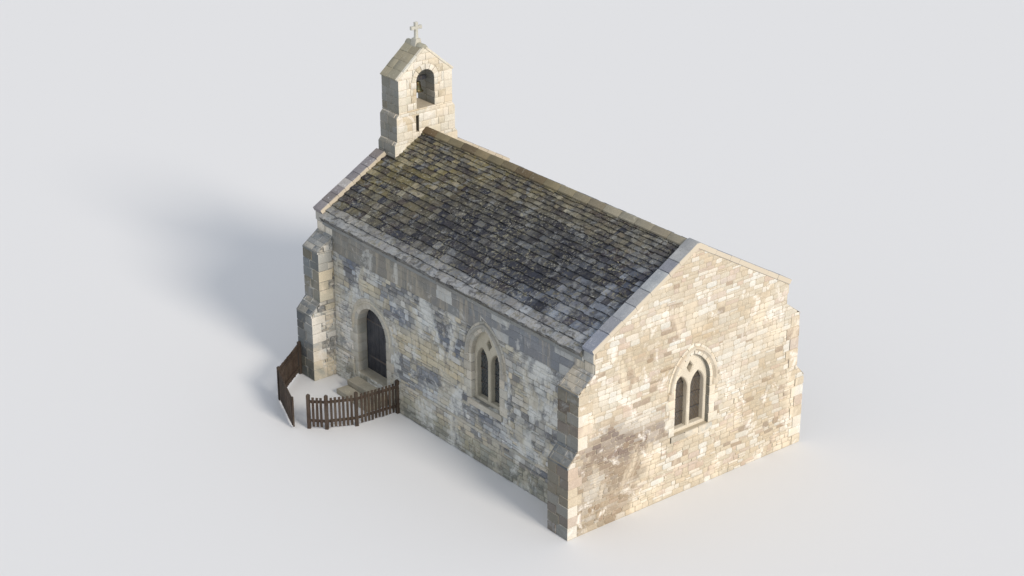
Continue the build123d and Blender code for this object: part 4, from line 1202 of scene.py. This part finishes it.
def buildCoteRoof():
    look = coteRoofLook
    heap = newHeap()
    rng = random.Random(461)
    run = hypot(1, coteSlope)
    edge = coteHalves[2] + look["edge"]
    length = (edge - look["edge"]) * run
    courses, gap, thick = look["courses"], look["gap"], look["thick"]
    for side in (-1, 1):
        upWay = Vector((0, -side / run, coteSlope / run))
        outWay = Vector((0, side * coteSlope / run, 1 / run))
        ways = (axes[0], upWay, outWay)
        foot = Vector((look["west"], side * edge, coteApex - edge * coteSlope))
        for course in range(courses):
            a, b = length * course / courses, length * (course + 1) / courses
            high = b - a - gap
            tone = spread(look["pale"], rng, 0.04)  # the pale verge stone towards the nave
            corner = foot + Vector((look["deep"] + 0.001, 0, 0)) + upWay * (a + gap) + outWay * 0.003
            block(heap, corner, (look["verge"], high, thick), look["bevel"], tone, rng, 0.003, ways)
            x = 0.0
            while x < look["deep"] - 0.037:
                wide = look["deep"] - x if x > 0.25 else rng.uniform(*look["long"])
                corner = foot + Vector((x + gap, 0, 0)) + upWay * (a + gap) + outWay * (0.005 * (course % 2))
                tone = spread(look["slab"], rng, 0.12)
                block(heap, corner, (wide - 2 * gap, high, thick), look["bevel"], tone, rng, 0.003, ways)
                x += wide
    top = coteApex + 0.07 * run
    low = top - 0.10 * coteSlope
    section = mirrored([(0.10, low - 0.02), (0.105, low + 0.015), (0.04, top + 0.010)])
    for i in range(2):
        tint = spread(look["crest"], rng, 0.05)
        runSlab(heap, look["west"] + i * 0.418, (gap, 0.414), 1, section, 0.010, tint, rng, 0.002)
    toObject(heap, "coteSlabs", "chapel", stones["dressed"], "dressed_stone", "bellcote_roof")
    # the cross on its saddle
    heap = newHeap()
    at = planeAt(faceAcross(coteMid, 1))
    foot, shoulder = top + 0.10, top + 0.11
    armZ, crossTop = shoulder + 0.31, shoulder + 0.468
    saddle = mirrored([(0.12, top - 0.10), (0.115, top - 0.05), (0.078, shoulder)])
    shaft = mirrored([(0.058, foot), (0.046, foot + 0.08), (0.044, armZ), (0.052, crossTop)])
    halfArms = ((-0.185, 0.052), (-0.06, 0.042), (0.06, 0.042), (0.185, 0.052))
    arms = [(u, armZ - v) for u, v in halfArms] + [(u, armZ + v) for u, v in halfArms[::-1]]
    slab(heap, at, saddle, -0.118, 0.118, 0.014, look["saddle"], rng, 0.002)
    slab(heap, at, shaft, -0.052, 0.052, 0.012, look["cross"], rng, 0.001)
    slab(heap, at, arms, -0.0505, 0.0505, 0.012, look["cross"], rng, 0.001)
    toObject(heap, "coteCross", "chapel", stones["dressed"], "dressed_stone", "bellcote_cross")


def buildBellcote():
    heap = newHeap()
    holes = {1: [box(-0.355, 6.765, -0.245, 7.265)], -1: []}  # the slot towards the nave
    look = dict(openingLook, arch=0.16, jambs=(0.12, 0.19), high=0.2, voussoir=0.15, sink=0.39, lip=0.004)
    for sideX, face in coteEdges:
        holes[sideX] += ringStones(heap, face, coteOpening, look, coteTint, 431 + sideX)
        holes[sideX].append(pointedOutline(coteOpening))
    wide, middle, narrow = coteHalves
    coteStage(heap, wide, coteFoot, offsets[0], holes, 401)
    coteStage(heap, middle, 6.6, offsets[1], holes, 402)
    coteStage(heap, narrow, 7.4, piersFoot, holes, 403, 0.397)
    coteStage(heap, narrow, piersFoot, archFoot, holes, 404, 0.222)
    coteStage(heap, narrow, archFoot, coteShoulder, holes, 405, 0.397)
    nicheStones(heap, -1)
    nicheStones(heap, 1)
    rowLook = dict(coteLook, course=(offsetHigh, offsetHigh))
    slopeLook = dict(weatheringLook, course=(0.14, 0.15))
    for half, small, low in ((wide, middle, offsets[0]), (middle, narrow, offsets[1])):
        for sideX, face in coteEdges:
            region = mirrored([(half, low), (small, low + offsetHigh)])
            layStones(heap, face, region, holes[1] if sideX > 0 else [], rowLook, coteTint, 421)
        run = hypot(half - small, offsetHigh)
        back, rise = (half - small) / run, offsetHigh / run
        for sideY in (-1, 1):
            face = ((coteMid, sideY * half, low), (-sideY, 0, 0), (0, -sideY * back, rise),
                    (0, sideY * rise, back))
            region = box(-coteDepth - 0.005, -0.012, coteDepth + 0.005, run)
            layStones(heap, face, region, [], slopeLook, paleTint, 455 + sideY)
    for sideX, face in coteEdges:
        region = mirrored([(narrow, coteShoulder), (0.02, 9.165)])
        layStones(heap, face, region, holes[sideX], coteLook, coteTint, 441 + sideX)
    toObject(heap, "coteStones", "chapel", stones["gable"], "dressed_stone")
    buildCoteRoof()
    print("bellcote built")


buildBellcote()

# Hood moulds over the windows and the door, in short lengths
hoodLook = {
    "long": 0.32, "joint": 0.003, "door": shade(204, 198, 182), "grey": shade(176, 174, 166),
    "east": shade(226, 214, 194), "stop": 0.172,
    # distance from the opening, width, depth and height of the foot
    "overWindow": (0.09, 0.11, 0.079, 3.0), "overDoor": (0.13, 0.09, 0.048, 1.83),
}


def hoodMould(heap, face, opening, inner, band, depth, foot, label, tint, rng):
    at = planeAt(face)
    centre, half, spring = opening["centre"], opening["half"], opening["spring"]
    profile = [(0, -0.01), (0, depth * 0.25), (band * 0.18, depth * 0.5), (band * 0.3, depth * 0.62),
               (band * 0.42, depth * 0.97), (band * 0.9, depth * 0.97), (band, depth * 0.72), (band, -0.01)]
    n = len(profile)
    reach, back, _ = pointedArc(half, opening["rise"], inner)
    sweep = pointedArc(half, opening["rise"], inner + band)[2]
    count = max(2, round(sweep * reach / hoodLook["long"]))
    pieces = [(0, foot, spring)] + [(4, sweep * i / count, sweep * (i + 1) / count) for i in range(count)]
    for side in (-1, 1):
        for bends, start, end in pieces:  # the straight leg doesn't bend
            first = len(heap["points"])
            steps = bends or 1
            gap = hoodLook["joint"] / 2 / (reach if bends else 1)
            tone = spread(tint, rng, 0.08)
            for i in range(steps + 1):
                t = start + gap + (end - start - 2 * gap) * i / steps
                for g, d in profile:
                    u, v = half + inner + g, t
                    if bends:
                        u, v = (reach + g) * cos(t) - back, spring + (reach + g) * sin(t)
                    heap["points"].append(at(centre + side * max(u, 0.001), v, d))
            for i in range(steps):
                for j in range(n - 1):
                    a, b = first + i * n + j, first + (i + 1) * n + j
                    heap["faces"].append((a, a + 1, b + 1, b) if side < 0 else (a, b, b + 1, a + 1))
            for a, turn in ((first, side), (first + steps * n, -side)):
                heap["faces"] += [(a, a + j, a + j + 1)[::-turn] for j in range(1, n - 1)]
            paint(heap, tone)
        if label:
            u0 = centre + side * (half + inner - 0.003) - (hoodLook["stop"] if side < 0 else 0)
            outline = box(u0, foot - 0.168, u0 + hoodLook["stop"], foot + 0.003)
            rings = [(0, -0.01), (0, depth * 0.55), (0.02, depth * 0.8), (0.03, depth * 0.8),
                     (0.055, depth * 0.98)]
            loftRings(heap, at, outline, rings, spread(tint, rng, 0.05), False, rng, 0.001)


def buildHoods():
    heap = newHeap()
    rng = random.Random(471)
    for face, opening, key in (
        (southFace, southWindow, "grey"), (northFace, northWindow, "grey"), (eastFace, windowShape, "east"),
    ):
        hoodMould(heap, face, opening, *hoodLook["overWindow"], True, hoodLook[key], rng)
    hoodMould(heap, southFace, door, *hoodLook["overDoor"], False, hoodLook["door"], rng)
    toObject(heap, "hoods", "chapel", stones["dressed"], "dressed_stone", "hood_moulds")
    print("hood moulds built")


buildHoods()

# Leaded lights: cames in a diamond net and iron bars across
cameLook = {
    "pitch": 0.155, "lean": 1.45, "came": 0.009, "bar": 0.016, "bars": (2.2, 2.62, 3.02),
    "leadDepths": (-0.281, -0.274), "barDepths": (-0.274, -0.258), "lead": shade(74, 76, 78),
    "iron": shade(52, 52, 54),
}
lightShape = {"centre": 0.2925, "half": 0.2325, "sill": 1.825, "spring": 2.9, "rise": 0.39}
glassLook = {"dark": shade(44, 50, 54), "light": shade(92, 98, 98), "dustAndWarmLight": shade(104, 90, 72)}


def barAcross(heap, at, p, d, outline, wide, depths, tint):
    # a flat bar through p along d, as far as the outline goes
    start, end = -9.0, 9.0
    for a, n in edgesOf(outline):
        left = (a[0] - p[0]) * n[0] + (a[1] - p[1]) * n[1]
        speed = d[0] * n[0] + d[1] * n[1]
        if abs(speed) < 1e-9:
            if left < 0:
                return
        elif speed > 0:
            end = min(end, left / speed)
        else:
            start = max(start, left / speed)
    if end - start > 0.02:
        side = (-d[1] * wide / 2, d[0] * wide / 2)
        corners = [(p[0] + d[0] * t + k * side[0], p[1] + d[1] * t + k * side[1])
                   for t, k in ((start, -1), (end, -1), (end, 1), (start, 1))]
        loftRings(heap, at, anticlockwise(corners), [(0, depth) for depth in depths], tint)


def buildCames():
    look = cameLook
    heap = newHeap()
    run = hypot(1, look["lean"])
    for face, window in ((southFace, southWindow), (northFace, northWindow), (eastFace, windowShape)):
        at = planeAt(face)
        for side in (-1, 1):
            centre = window["centre"] + side * lightShape["centre"]
            outline = pointedOutline(dict(lightShape, centre=centre))
            for lean in (-1, 1):
                for k in range(-16, 17):
                    barAcross(heap, at, (centre + k * look["pitch"] * 0.62, 2.3),
                              (lean / run, look["lean"] / run), outline, look["came"],
                              look["leadDepths"], look["lead"])
            for z in look["bars"]:
                barAcross(heap, at, (centre, z), (1, 0), outline, look["bar"], look["barDepths"],
                          look["iron"])
    toObject(heap, "cames", "chapel", ironPaint, "iron", smooth=False)


buildCames()
glass = glassMaterial("oldGlass", glassLook)
print("windows glazed")

# Door: upright boards under the arch, ledges behind, nails and straps
doorLook = {
    "boards": 7, "wide": 1.52, "joint": 0.005, "front": -0.326, "back": -0.356, "ledge": -0.394,
    "ledges": ((0.70, 0.88), (1.35, 1.52), (1.86, 2.0)), "nail": 0.011, "rivet": 0.013,
    "nailRows": (0.62, 0.79, 1.18, 1.44, 1.75, 2.2), "strapRows": (0.95, 2.06), "iron": shade(60, 60, 62),
    "step": shade(176, 170, 154), "riser": shade(160, 154, 140), "sill": shade(182, 176, 160),
}


def ringOf(u, v, radius, n):
    return [(u + radius * cos(2 * pi * k / n), v + radius * sin(2 * pi * k / n)) for k in range(n)]


def buildDoor():
    look = doorLook
    rng = random.Random(501)
    at = planeAt(southFace)
    centre, west = door["centre"], door["centre"] - look["wide"] / 2
    heap = newHeap()
    outline = pointedOutline(door, 0.06, foot=0.508)
    wide = look["wide"] / look["boards"]
    for i in range(look["boards"]):
        u0 = west + i * wide
        board = cut(outline, (u0 + look["joint"] / 2, 0), (-1, 0), 0)
        board = cut(board, (u0 + wide - look["joint"] / 2, 0), (1, 0), 0)
        k = rng.uniform(0.75, 1.15)
        front = look["front"] + rng.uniform(-0.002, 0.0)
        slab(heap, at, board, look["back"], front, 0.004, (k, k, k), rng, 0.0006)
    for low, high in look["ledges"]:
        ledge = box(centre - 0.70, low, centre + 0.70, high)
        slab(heap, at, ledge, look["ledge"], look["back"] - 0.0005, 0.006, (0.85, 0.85, 0.85), rng, 0.001)
    toObject(heap, "doorBoards", "door", doorTinted, "door_oak", "door_leaf")
    heap = newHeap()
    front = look["front"]
    rings = [(0, front - 0.004), (0, front + 0.002), (0.006, front + 0.006)]
    for z in look["nailRows"]:
        for i in range(look["boards"]):
            for off in (-0.05, 0.05):
                u = west + (i + 0.5) * wide + off
                if all((u - a[0]) * n[0] + (z - a[1]) * n[1] <= -0.05 for a, n in edgesOf(outline)):
                    loftRings(heap, at, ringOf(u, z, look["nail"], 8), rings, look["iron"])
    rings = [(0, -0.320), (0, -0.314), (0.006, -0.310)]
    for z in look["strapRows"]:
        for i in range(7):
            loftRings(heap, at, ringOf(centre - 0.62 + i * 0.175, z, look["rivet"], 8), rings, look["iron"])
    toObject(heap, "doorNails", "door", ironPaint, "iron")
    heap = newHeap()
    deep, long = 0.375, 0.5
    for reach, low, high, wide in ((2 * deep, 0.0, 0.17, deep), (deep, 0.17, 0.34, deep - 0.001)):
        for i in range(3):
            x = centre - 1.5 * long + i * long + 0.002
            size = (long - 0.004, wide, high - low - 0.001 - rng.uniform(0, 0.004))
            tint = spread(look["step"], rng, 0.07)
            block(heap, (x, -halfWidth - reach, low), size, 0.014, tint, rng, 0.003)
            if low == 0:
                tint = spread(look["riser"], rng, 0.07)
                block(heap, (x, -halfWidth - deep, 0.0), (long - 0.004, 0.372, 0.168), 0.006, tint)
    toObject(heap, "doorSteps", "chapel", stones["dressed"], "dressed_stone", "door_steps")
    heap = newHeap()
    for i in range(2):
        corner = (centre - 0.693 + i * 0.694, -halfWidth - 0.006, 0.345)
        tint = spread(look["sill"], rng, 0.05)
        block(heap, corner, (0.690, 0.31, 0.159), 0.010, tint, rng, 0.002)
    toObject(heap, "doorThreshold", "chapel", stones["dressed"], "dressed_stone")
    print("door built")


buildDoor()

# Bell: turned shape with mouldings, on its headstock
bellLook = {
    "profile": (
        (0.0, 0.0), (0.05, 0.0), (0.062, -0.004), (0.082, -0.014), (0.097, -0.034), (0.1, -0.048),
        (0.104, -0.05), (0.104, -0.058), (0.1, -0.06), (0.108, -0.12), (0.118, -0.19), (0.128, -0.225),
        (0.134, -0.228), (0.134, -0.236), (0.142, -0.25), (0.16, -0.275), (0.178, -0.292),
        (0.18, -0.295), (0.166, -0.295), (0.146, -0.268), (0.118, -0.228), (0.1, -0.19),
        (0.088, -0.08), (0.078, -0.04), (0.04, -0.02), (0.0, -0.018)),
    "turns": 40, "pivot": 8.2, "drop": 0.077, "loops": (-0.032, 0.032), "straps": (-0.11, 0.0, 0.11),
}


def buildBell():
    heap = newHeap()
    top = bellLook["pivot"] - bellLook["drop"]
    n = bellLook["turns"]
    plain = (1.0, 1.0, 1.0)
    for r, z in bellLook["profile"]:
        heap["points"] += [Vector((coteMid + u, v, top + z)) for u, v in ringOf(0, 0, max(r, 0.0008), n)]
    for a in range(0, len(heap["points"]) - n, n):
        for k in range(n):
            j = (k + 1) % n
            heap["faces"].append((a + k, a + n + k, a + n + j, a + j))
    paint(heap, plain)
    for y in bellLook["loops"]:  # of the crown
        block(heap, (coteMid - 0.028, y - 0.010, top - 0.002), (0.056, 0.020, 0.026), 0.004, plain)
    toObject(heap, "bellCast", "bell", bronze, "bell_bronze", "bell")
    heap = newHeap()
    for y in bellLook["straps"]:
        block(heap, (coteMid - 0.049, y - 0.016, 8.142), (0.098, 0.032, 0.116), 0.003, plain)
    toObject(heap, "headstockStraps", "bell", ironPaint, "iron")
    print("bell built")


buildBell()

# Pen: posts, rails and pales, each piece a little different
penLook = {
    "post": 0.05, "high": 1.05, "rails": (0.2, 0.78), "railHigh": 0.075, "railThick": 0.045,
    "pale": 0.07, "thick": 0.022, "pitch": 0.112, "low": 0.06, "top": 0.96, "nail": 0.005,
}
wallPost, endPost = (-2.15, -3.39), (-5.93, -4.15)
sidePost, cornerPost, latchPost = (-2.25, -4.7), (-2.6, -5.45), (-2.95, -5.8)
hingePost, gateEnd = (-4.9, -5.5), (-3.168, -6.151)


def runFace(start, end):
    # a face along the run, up, and out to its left
    run = hypot(end[0] - start[0], end[1] - start[1])
    a = ((end[0] - start[0]) / run, (end[1] - start[1]) / run, 0)
    return ((*start, 0), (-a[0], -a[1], 0), up, (-a[1], a[0], 0)), run


def postStick(heap, place, way, rng):
    # square post with broken edges and a weathered point
    h, r, top = penLook["post"] - 0.001, 0.008, penLook["high"]
    along = Vector((*way, 0)).normalized()
    side = Vector((-along.y, along.x, 0))
    at = planeAt(((*place, 0), along, side, up))
    outline = [(-h, -h + r), (-h + r, -h), (h - r, -h), (h, -h + r),
               (h, h - r), (h - r, h), (-h + r, h), (-h, h - r)]
    rings = [(0, 0), (0, 0.35), (0, 0.7), (0, top - 0.045), (0.02, top - 0.024), (0.038, top - 0.004)]
    k = rng.uniform(0.8, 1.15)
    loftRings(heap, at, outline, rings, (k, k, k), True, rng, 0.001)


def stick(heap, face, u0, v0, u1, v1, back, front, rng, bevel, wear=0.0015):
    # a rail or a pale, a little out of true
    off = lambda: rng.uniform(-wear, wear)
    lean = off() * 2
    outline = [(u0 + off(), v0 + off()), (u1, v0 + off()), (u1 + lean, v1 + off()), (u0 + lean, v1 + off())]
    k = rng.uniform(0.72, 1.2)
    tint = (k, k * rng.uniform(0.97, 1.0), k * rng.uniform(0.93, 1.0))
    slab(heap, planeAt(face), outline, back, front, bevel, tint, rng, 0.0006)


def panel(heap, nails, start, end, rng):
    look = penLook
    face, run = runFace(start, end)
    front, half = look["railThick"] / 2, look["pale"] / 2
    for low in look["rails"]:
        stick(heap, face, -run + 0.03, low, -0.03, low + look["railHigh"], -front, front, rng, 0.006)
    count = int((run - 0.13 - look["pale"]) / look["pitch"]) + 1
    first = (run - (count - 1) * look["pitch"]) / 2
    outer = front + look["thick"]
    for i in range(count):
        u = -(first + i * look["pitch"])
        high = look["top"] + rng.uniform(-0.012, 0.004)
        low = look["low"] + rng.uniform(-0.01, 0.01)
        stick(heap, face, u - half + 0.001, low, u + half - 0.001, high, front, outer, rng, 0.003, 0.003)
        for rail in look["rails"]:
            for off in (0.02, 0.055):
                ring = ringOf(u + (off - 0.037) * 0.5, rail + off, look["nail"], 6)
                rings = [(0, outer - 0.004), (0.001, outer + 0.0015)]
                loftRings(nails, planeAt(face), ring, rings, (1, 1, 1))


def buildPen():
    rng = random.Random(601)
    posts, panels, nails = newHeap(), newHeap(), newHeap()
    for place, way in (
        (wallPost, (1, 0)), (endPost, (1, 0)), (sidePost, (-0.35, -0.75)), (cornerPost, (-0.35, -0.35)),
        (latchPost, (0.35, 0.35)), (hingePost, (gateEnd[0] - hingePost[0], gateEnd[1] - hingePost[1])),
    ):
        postStick(posts, place, way, rng)
    toObject(posts, "penPosts", "chapel", fenceWood, "fence_wood", "fence_posts")
    for start, end in (
        (wallPost, sidePost), (sidePost, cornerPost), (cornerPost, latchPost), (hingePost, endPost),
    ):
        panel(panels, nails, start, end, rng)
    toObject(panels, "penPanels", "chapel", fenceWood, "fence_wood", "fence_panel_east",
             "fence_panel_southeast", "fence_panel_south", "fence_panel_west")
    toObject(nails, "penNails", "chapel", ironPaint, "iron")
    buildGate(rng)
    print("pen built")


def buildGate(rng):
    look = penLook
    heap = newHeap()
    face, run = runFace(hingePost, gateEnd)
    start, stile = 0.1, 0.07
    for u in (start, run - stile):
        stick(heap, face, -u - stile, look["low"], -u, look["top"], -0.0225, 0.0225, rng, 0.006)
    for low in look["rails"]:
        stick(heap, face, -run + 0.035, low, -start - 0.035, low + look["railHigh"], -0.0222, 0.0222,
              rng, 0.006)
    clear = run - start - 2 * stile
    count = int(clear / look["pitch"])
    for i in range(count):
        u = -(start + stile + (i + 0.5) * clear / count)
        low = look["low"] + rng.uniform(-0.005, 0.008)
        top = look["top"] + rng.uniform(-0.010, 0.003)
        stick(heap, face, u - 0.034, low, u + 0.034, top, -0.034, -0.010, rng, 0.003, 0.002)
    toObject(heap, "gateTimber", "gate", fenceWood, "fence_wood", "gate_leaf")


buildPen()


# Flags inside
flagLook = dict(
    bandLook, course=(0.55, 0.8), long=(0.5, 0.95), joint=0.01, relief=(0.002, 0.004), bulge=0.0005,
    pock=0.0004, sway=0.0, tone=shade(150, 142, 126))


def buildFlags():
    heap = newHeap()
    tintOf = lambda u, v, rng: spread(flagLook["tone"], rng, 0.12)
    half, wide = 5.245, 2.545
    layStones(heap, ((0, 0, door["sill"]), *axes), box(-half, -wide, half, wide), [], flagLook, tintOf, 701)
    toObject(heap, "nave_flags", "chapel", stones["dressed"], "floor_stone")


buildFlags()

# Materials of the pieces that are shown as modelled
plainDressed = stoneMaterial("plainDressed", dict(materialLooks["dressed"], flat=shade(196, 190, 172)))
# the east tracery's dressed stone is a paler copy: painted sunlight
eastSunlitDressed = stoneMaterial("eastSunlitDressed", dict(materialLooks["dressed"], flat=shade(238, 228, 208)))
ownMaterials = {
    "floor_slab": stones["flags"], "roof_slope_south": stones["slateBed"],
    "roof_slope_north": stones["slateBed"], "bell_headstock": doorWood, "bell_clapper": ironPaint,
    "door_ironwork": ironPaint, "gate_ironwork": ironPaint, "hinge_pins": ironPaint,
    "south_window_glass": glass, "north_window_glass": glass, "east_window_glass": glass,
    "south_window_tracery": plainDressed, "north_window_tracery": plainDressed,
    "door_surround": plainDressed, "door_sill": plainDressed, "east_window_tracery": eastSunlitDressed,
}
# these pieces get the pale mortar, partly painted sunlight; the rest get the grey one, partly painted shade
sunSide = ("east_gable_wall", "west_gable_wall", "bellcote_base", "bellcote_piers", "bellcote_arch_head",
           "buttress_southeast", "buttress_northeast")
for name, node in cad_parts.items():
    node.data.materials.clear()
    mortar = stones["paleSunlitMortar" if name in sunSide else "mortar"]
    node.data.materials.append(ownMaterials.get(name, mortar))


# Floor, light and camera
def intoScene(name, data, place=(0, 0, 0)):
    made = bpy.data.objects.new(name, data)
    made.location = place
    bpy.context.scene.collection.objects.link(made)
    return made


def aimAt(made, way, axis):
    # turns the object so that its axis points along the way
    made.rotation_mode = "QUATERNION"
    made.rotation_quaternion = way.to_track_quat(axis, "Y")


floorLook = {"half": 160, "drop": 0.002, "tone": (0.74, 0.74, 0.74), "rough": 0.9}
half = floorLook["half"]
floorMesh = bpy.data.meshes.new("floorPlane")
floorMesh.from_pydata([(u, v, 0) for u, v in box(-half, -half, half, half)], [], [(0, 1, 2, 3)])
floor = intoScene("floorPlane", floorMesh, (0, 0, -floorLook["drop"]))
floorTone = bpy.data.materials.new("paleFloor")
floorTone.use_nodes = True
feed(floorTone.node_tree, floorTone.node_tree.nodes["Principled BSDF"].inputs,
     {"Base Color": floorLook["tone"], "Roughness": floorLook["rough"]})
floorMesh.materials.append(floorTone)

lightLook = {
    "turn": 1.0, "height": 30.0, "power": 2.55, "tone": (1.0, 0.92, 0.82), "soft": 16.0,
    "fill": (0.60, 0.64, 0.71),
}
sun = bpy.data.lights.new("key", "SUN")
sun.energy = lightLook["power"]
sun.color = lightLook["tone"]
sun.angle = radians(lightLook["soft"])
turn, height = radians(lightLook["turn"]), radians(lightLook["height"])
toSun = Vector((cos(turn) * cos(height), sin(turn) * cos(height), sin(height)))
aimAt(intoScene("key", sun), toSun, "Z")

world = bpy.data.worlds.new("studio")
bpy.context.scene.world = world
world.use_nodes = True
feed(world.node_tree, world.node_tree.nodes["Background"].inputs,
     {"Color": lightLook["fill"], "Strength": 1.0})

cameraLook = {"lens": 68, "place": (37.16, -30.89, 25.08), "aim": (-0.35, -0.75, 3.7), "far": 500}
camera = bpy.data.cameras.new("view")
camera.lens = cameraLook["lens"]
camera.clip_end = cameraLook["far"]
cameraObject = intoScene("view", camera, cameraLook["place"])
aimAt(cameraObject, Vector(cameraLook["aim"]) - cameraObject.location, "-Z")
bpy.context.scene.camera = cameraObject
bpy.context.scene.view_settings.view_transform = "Standard"
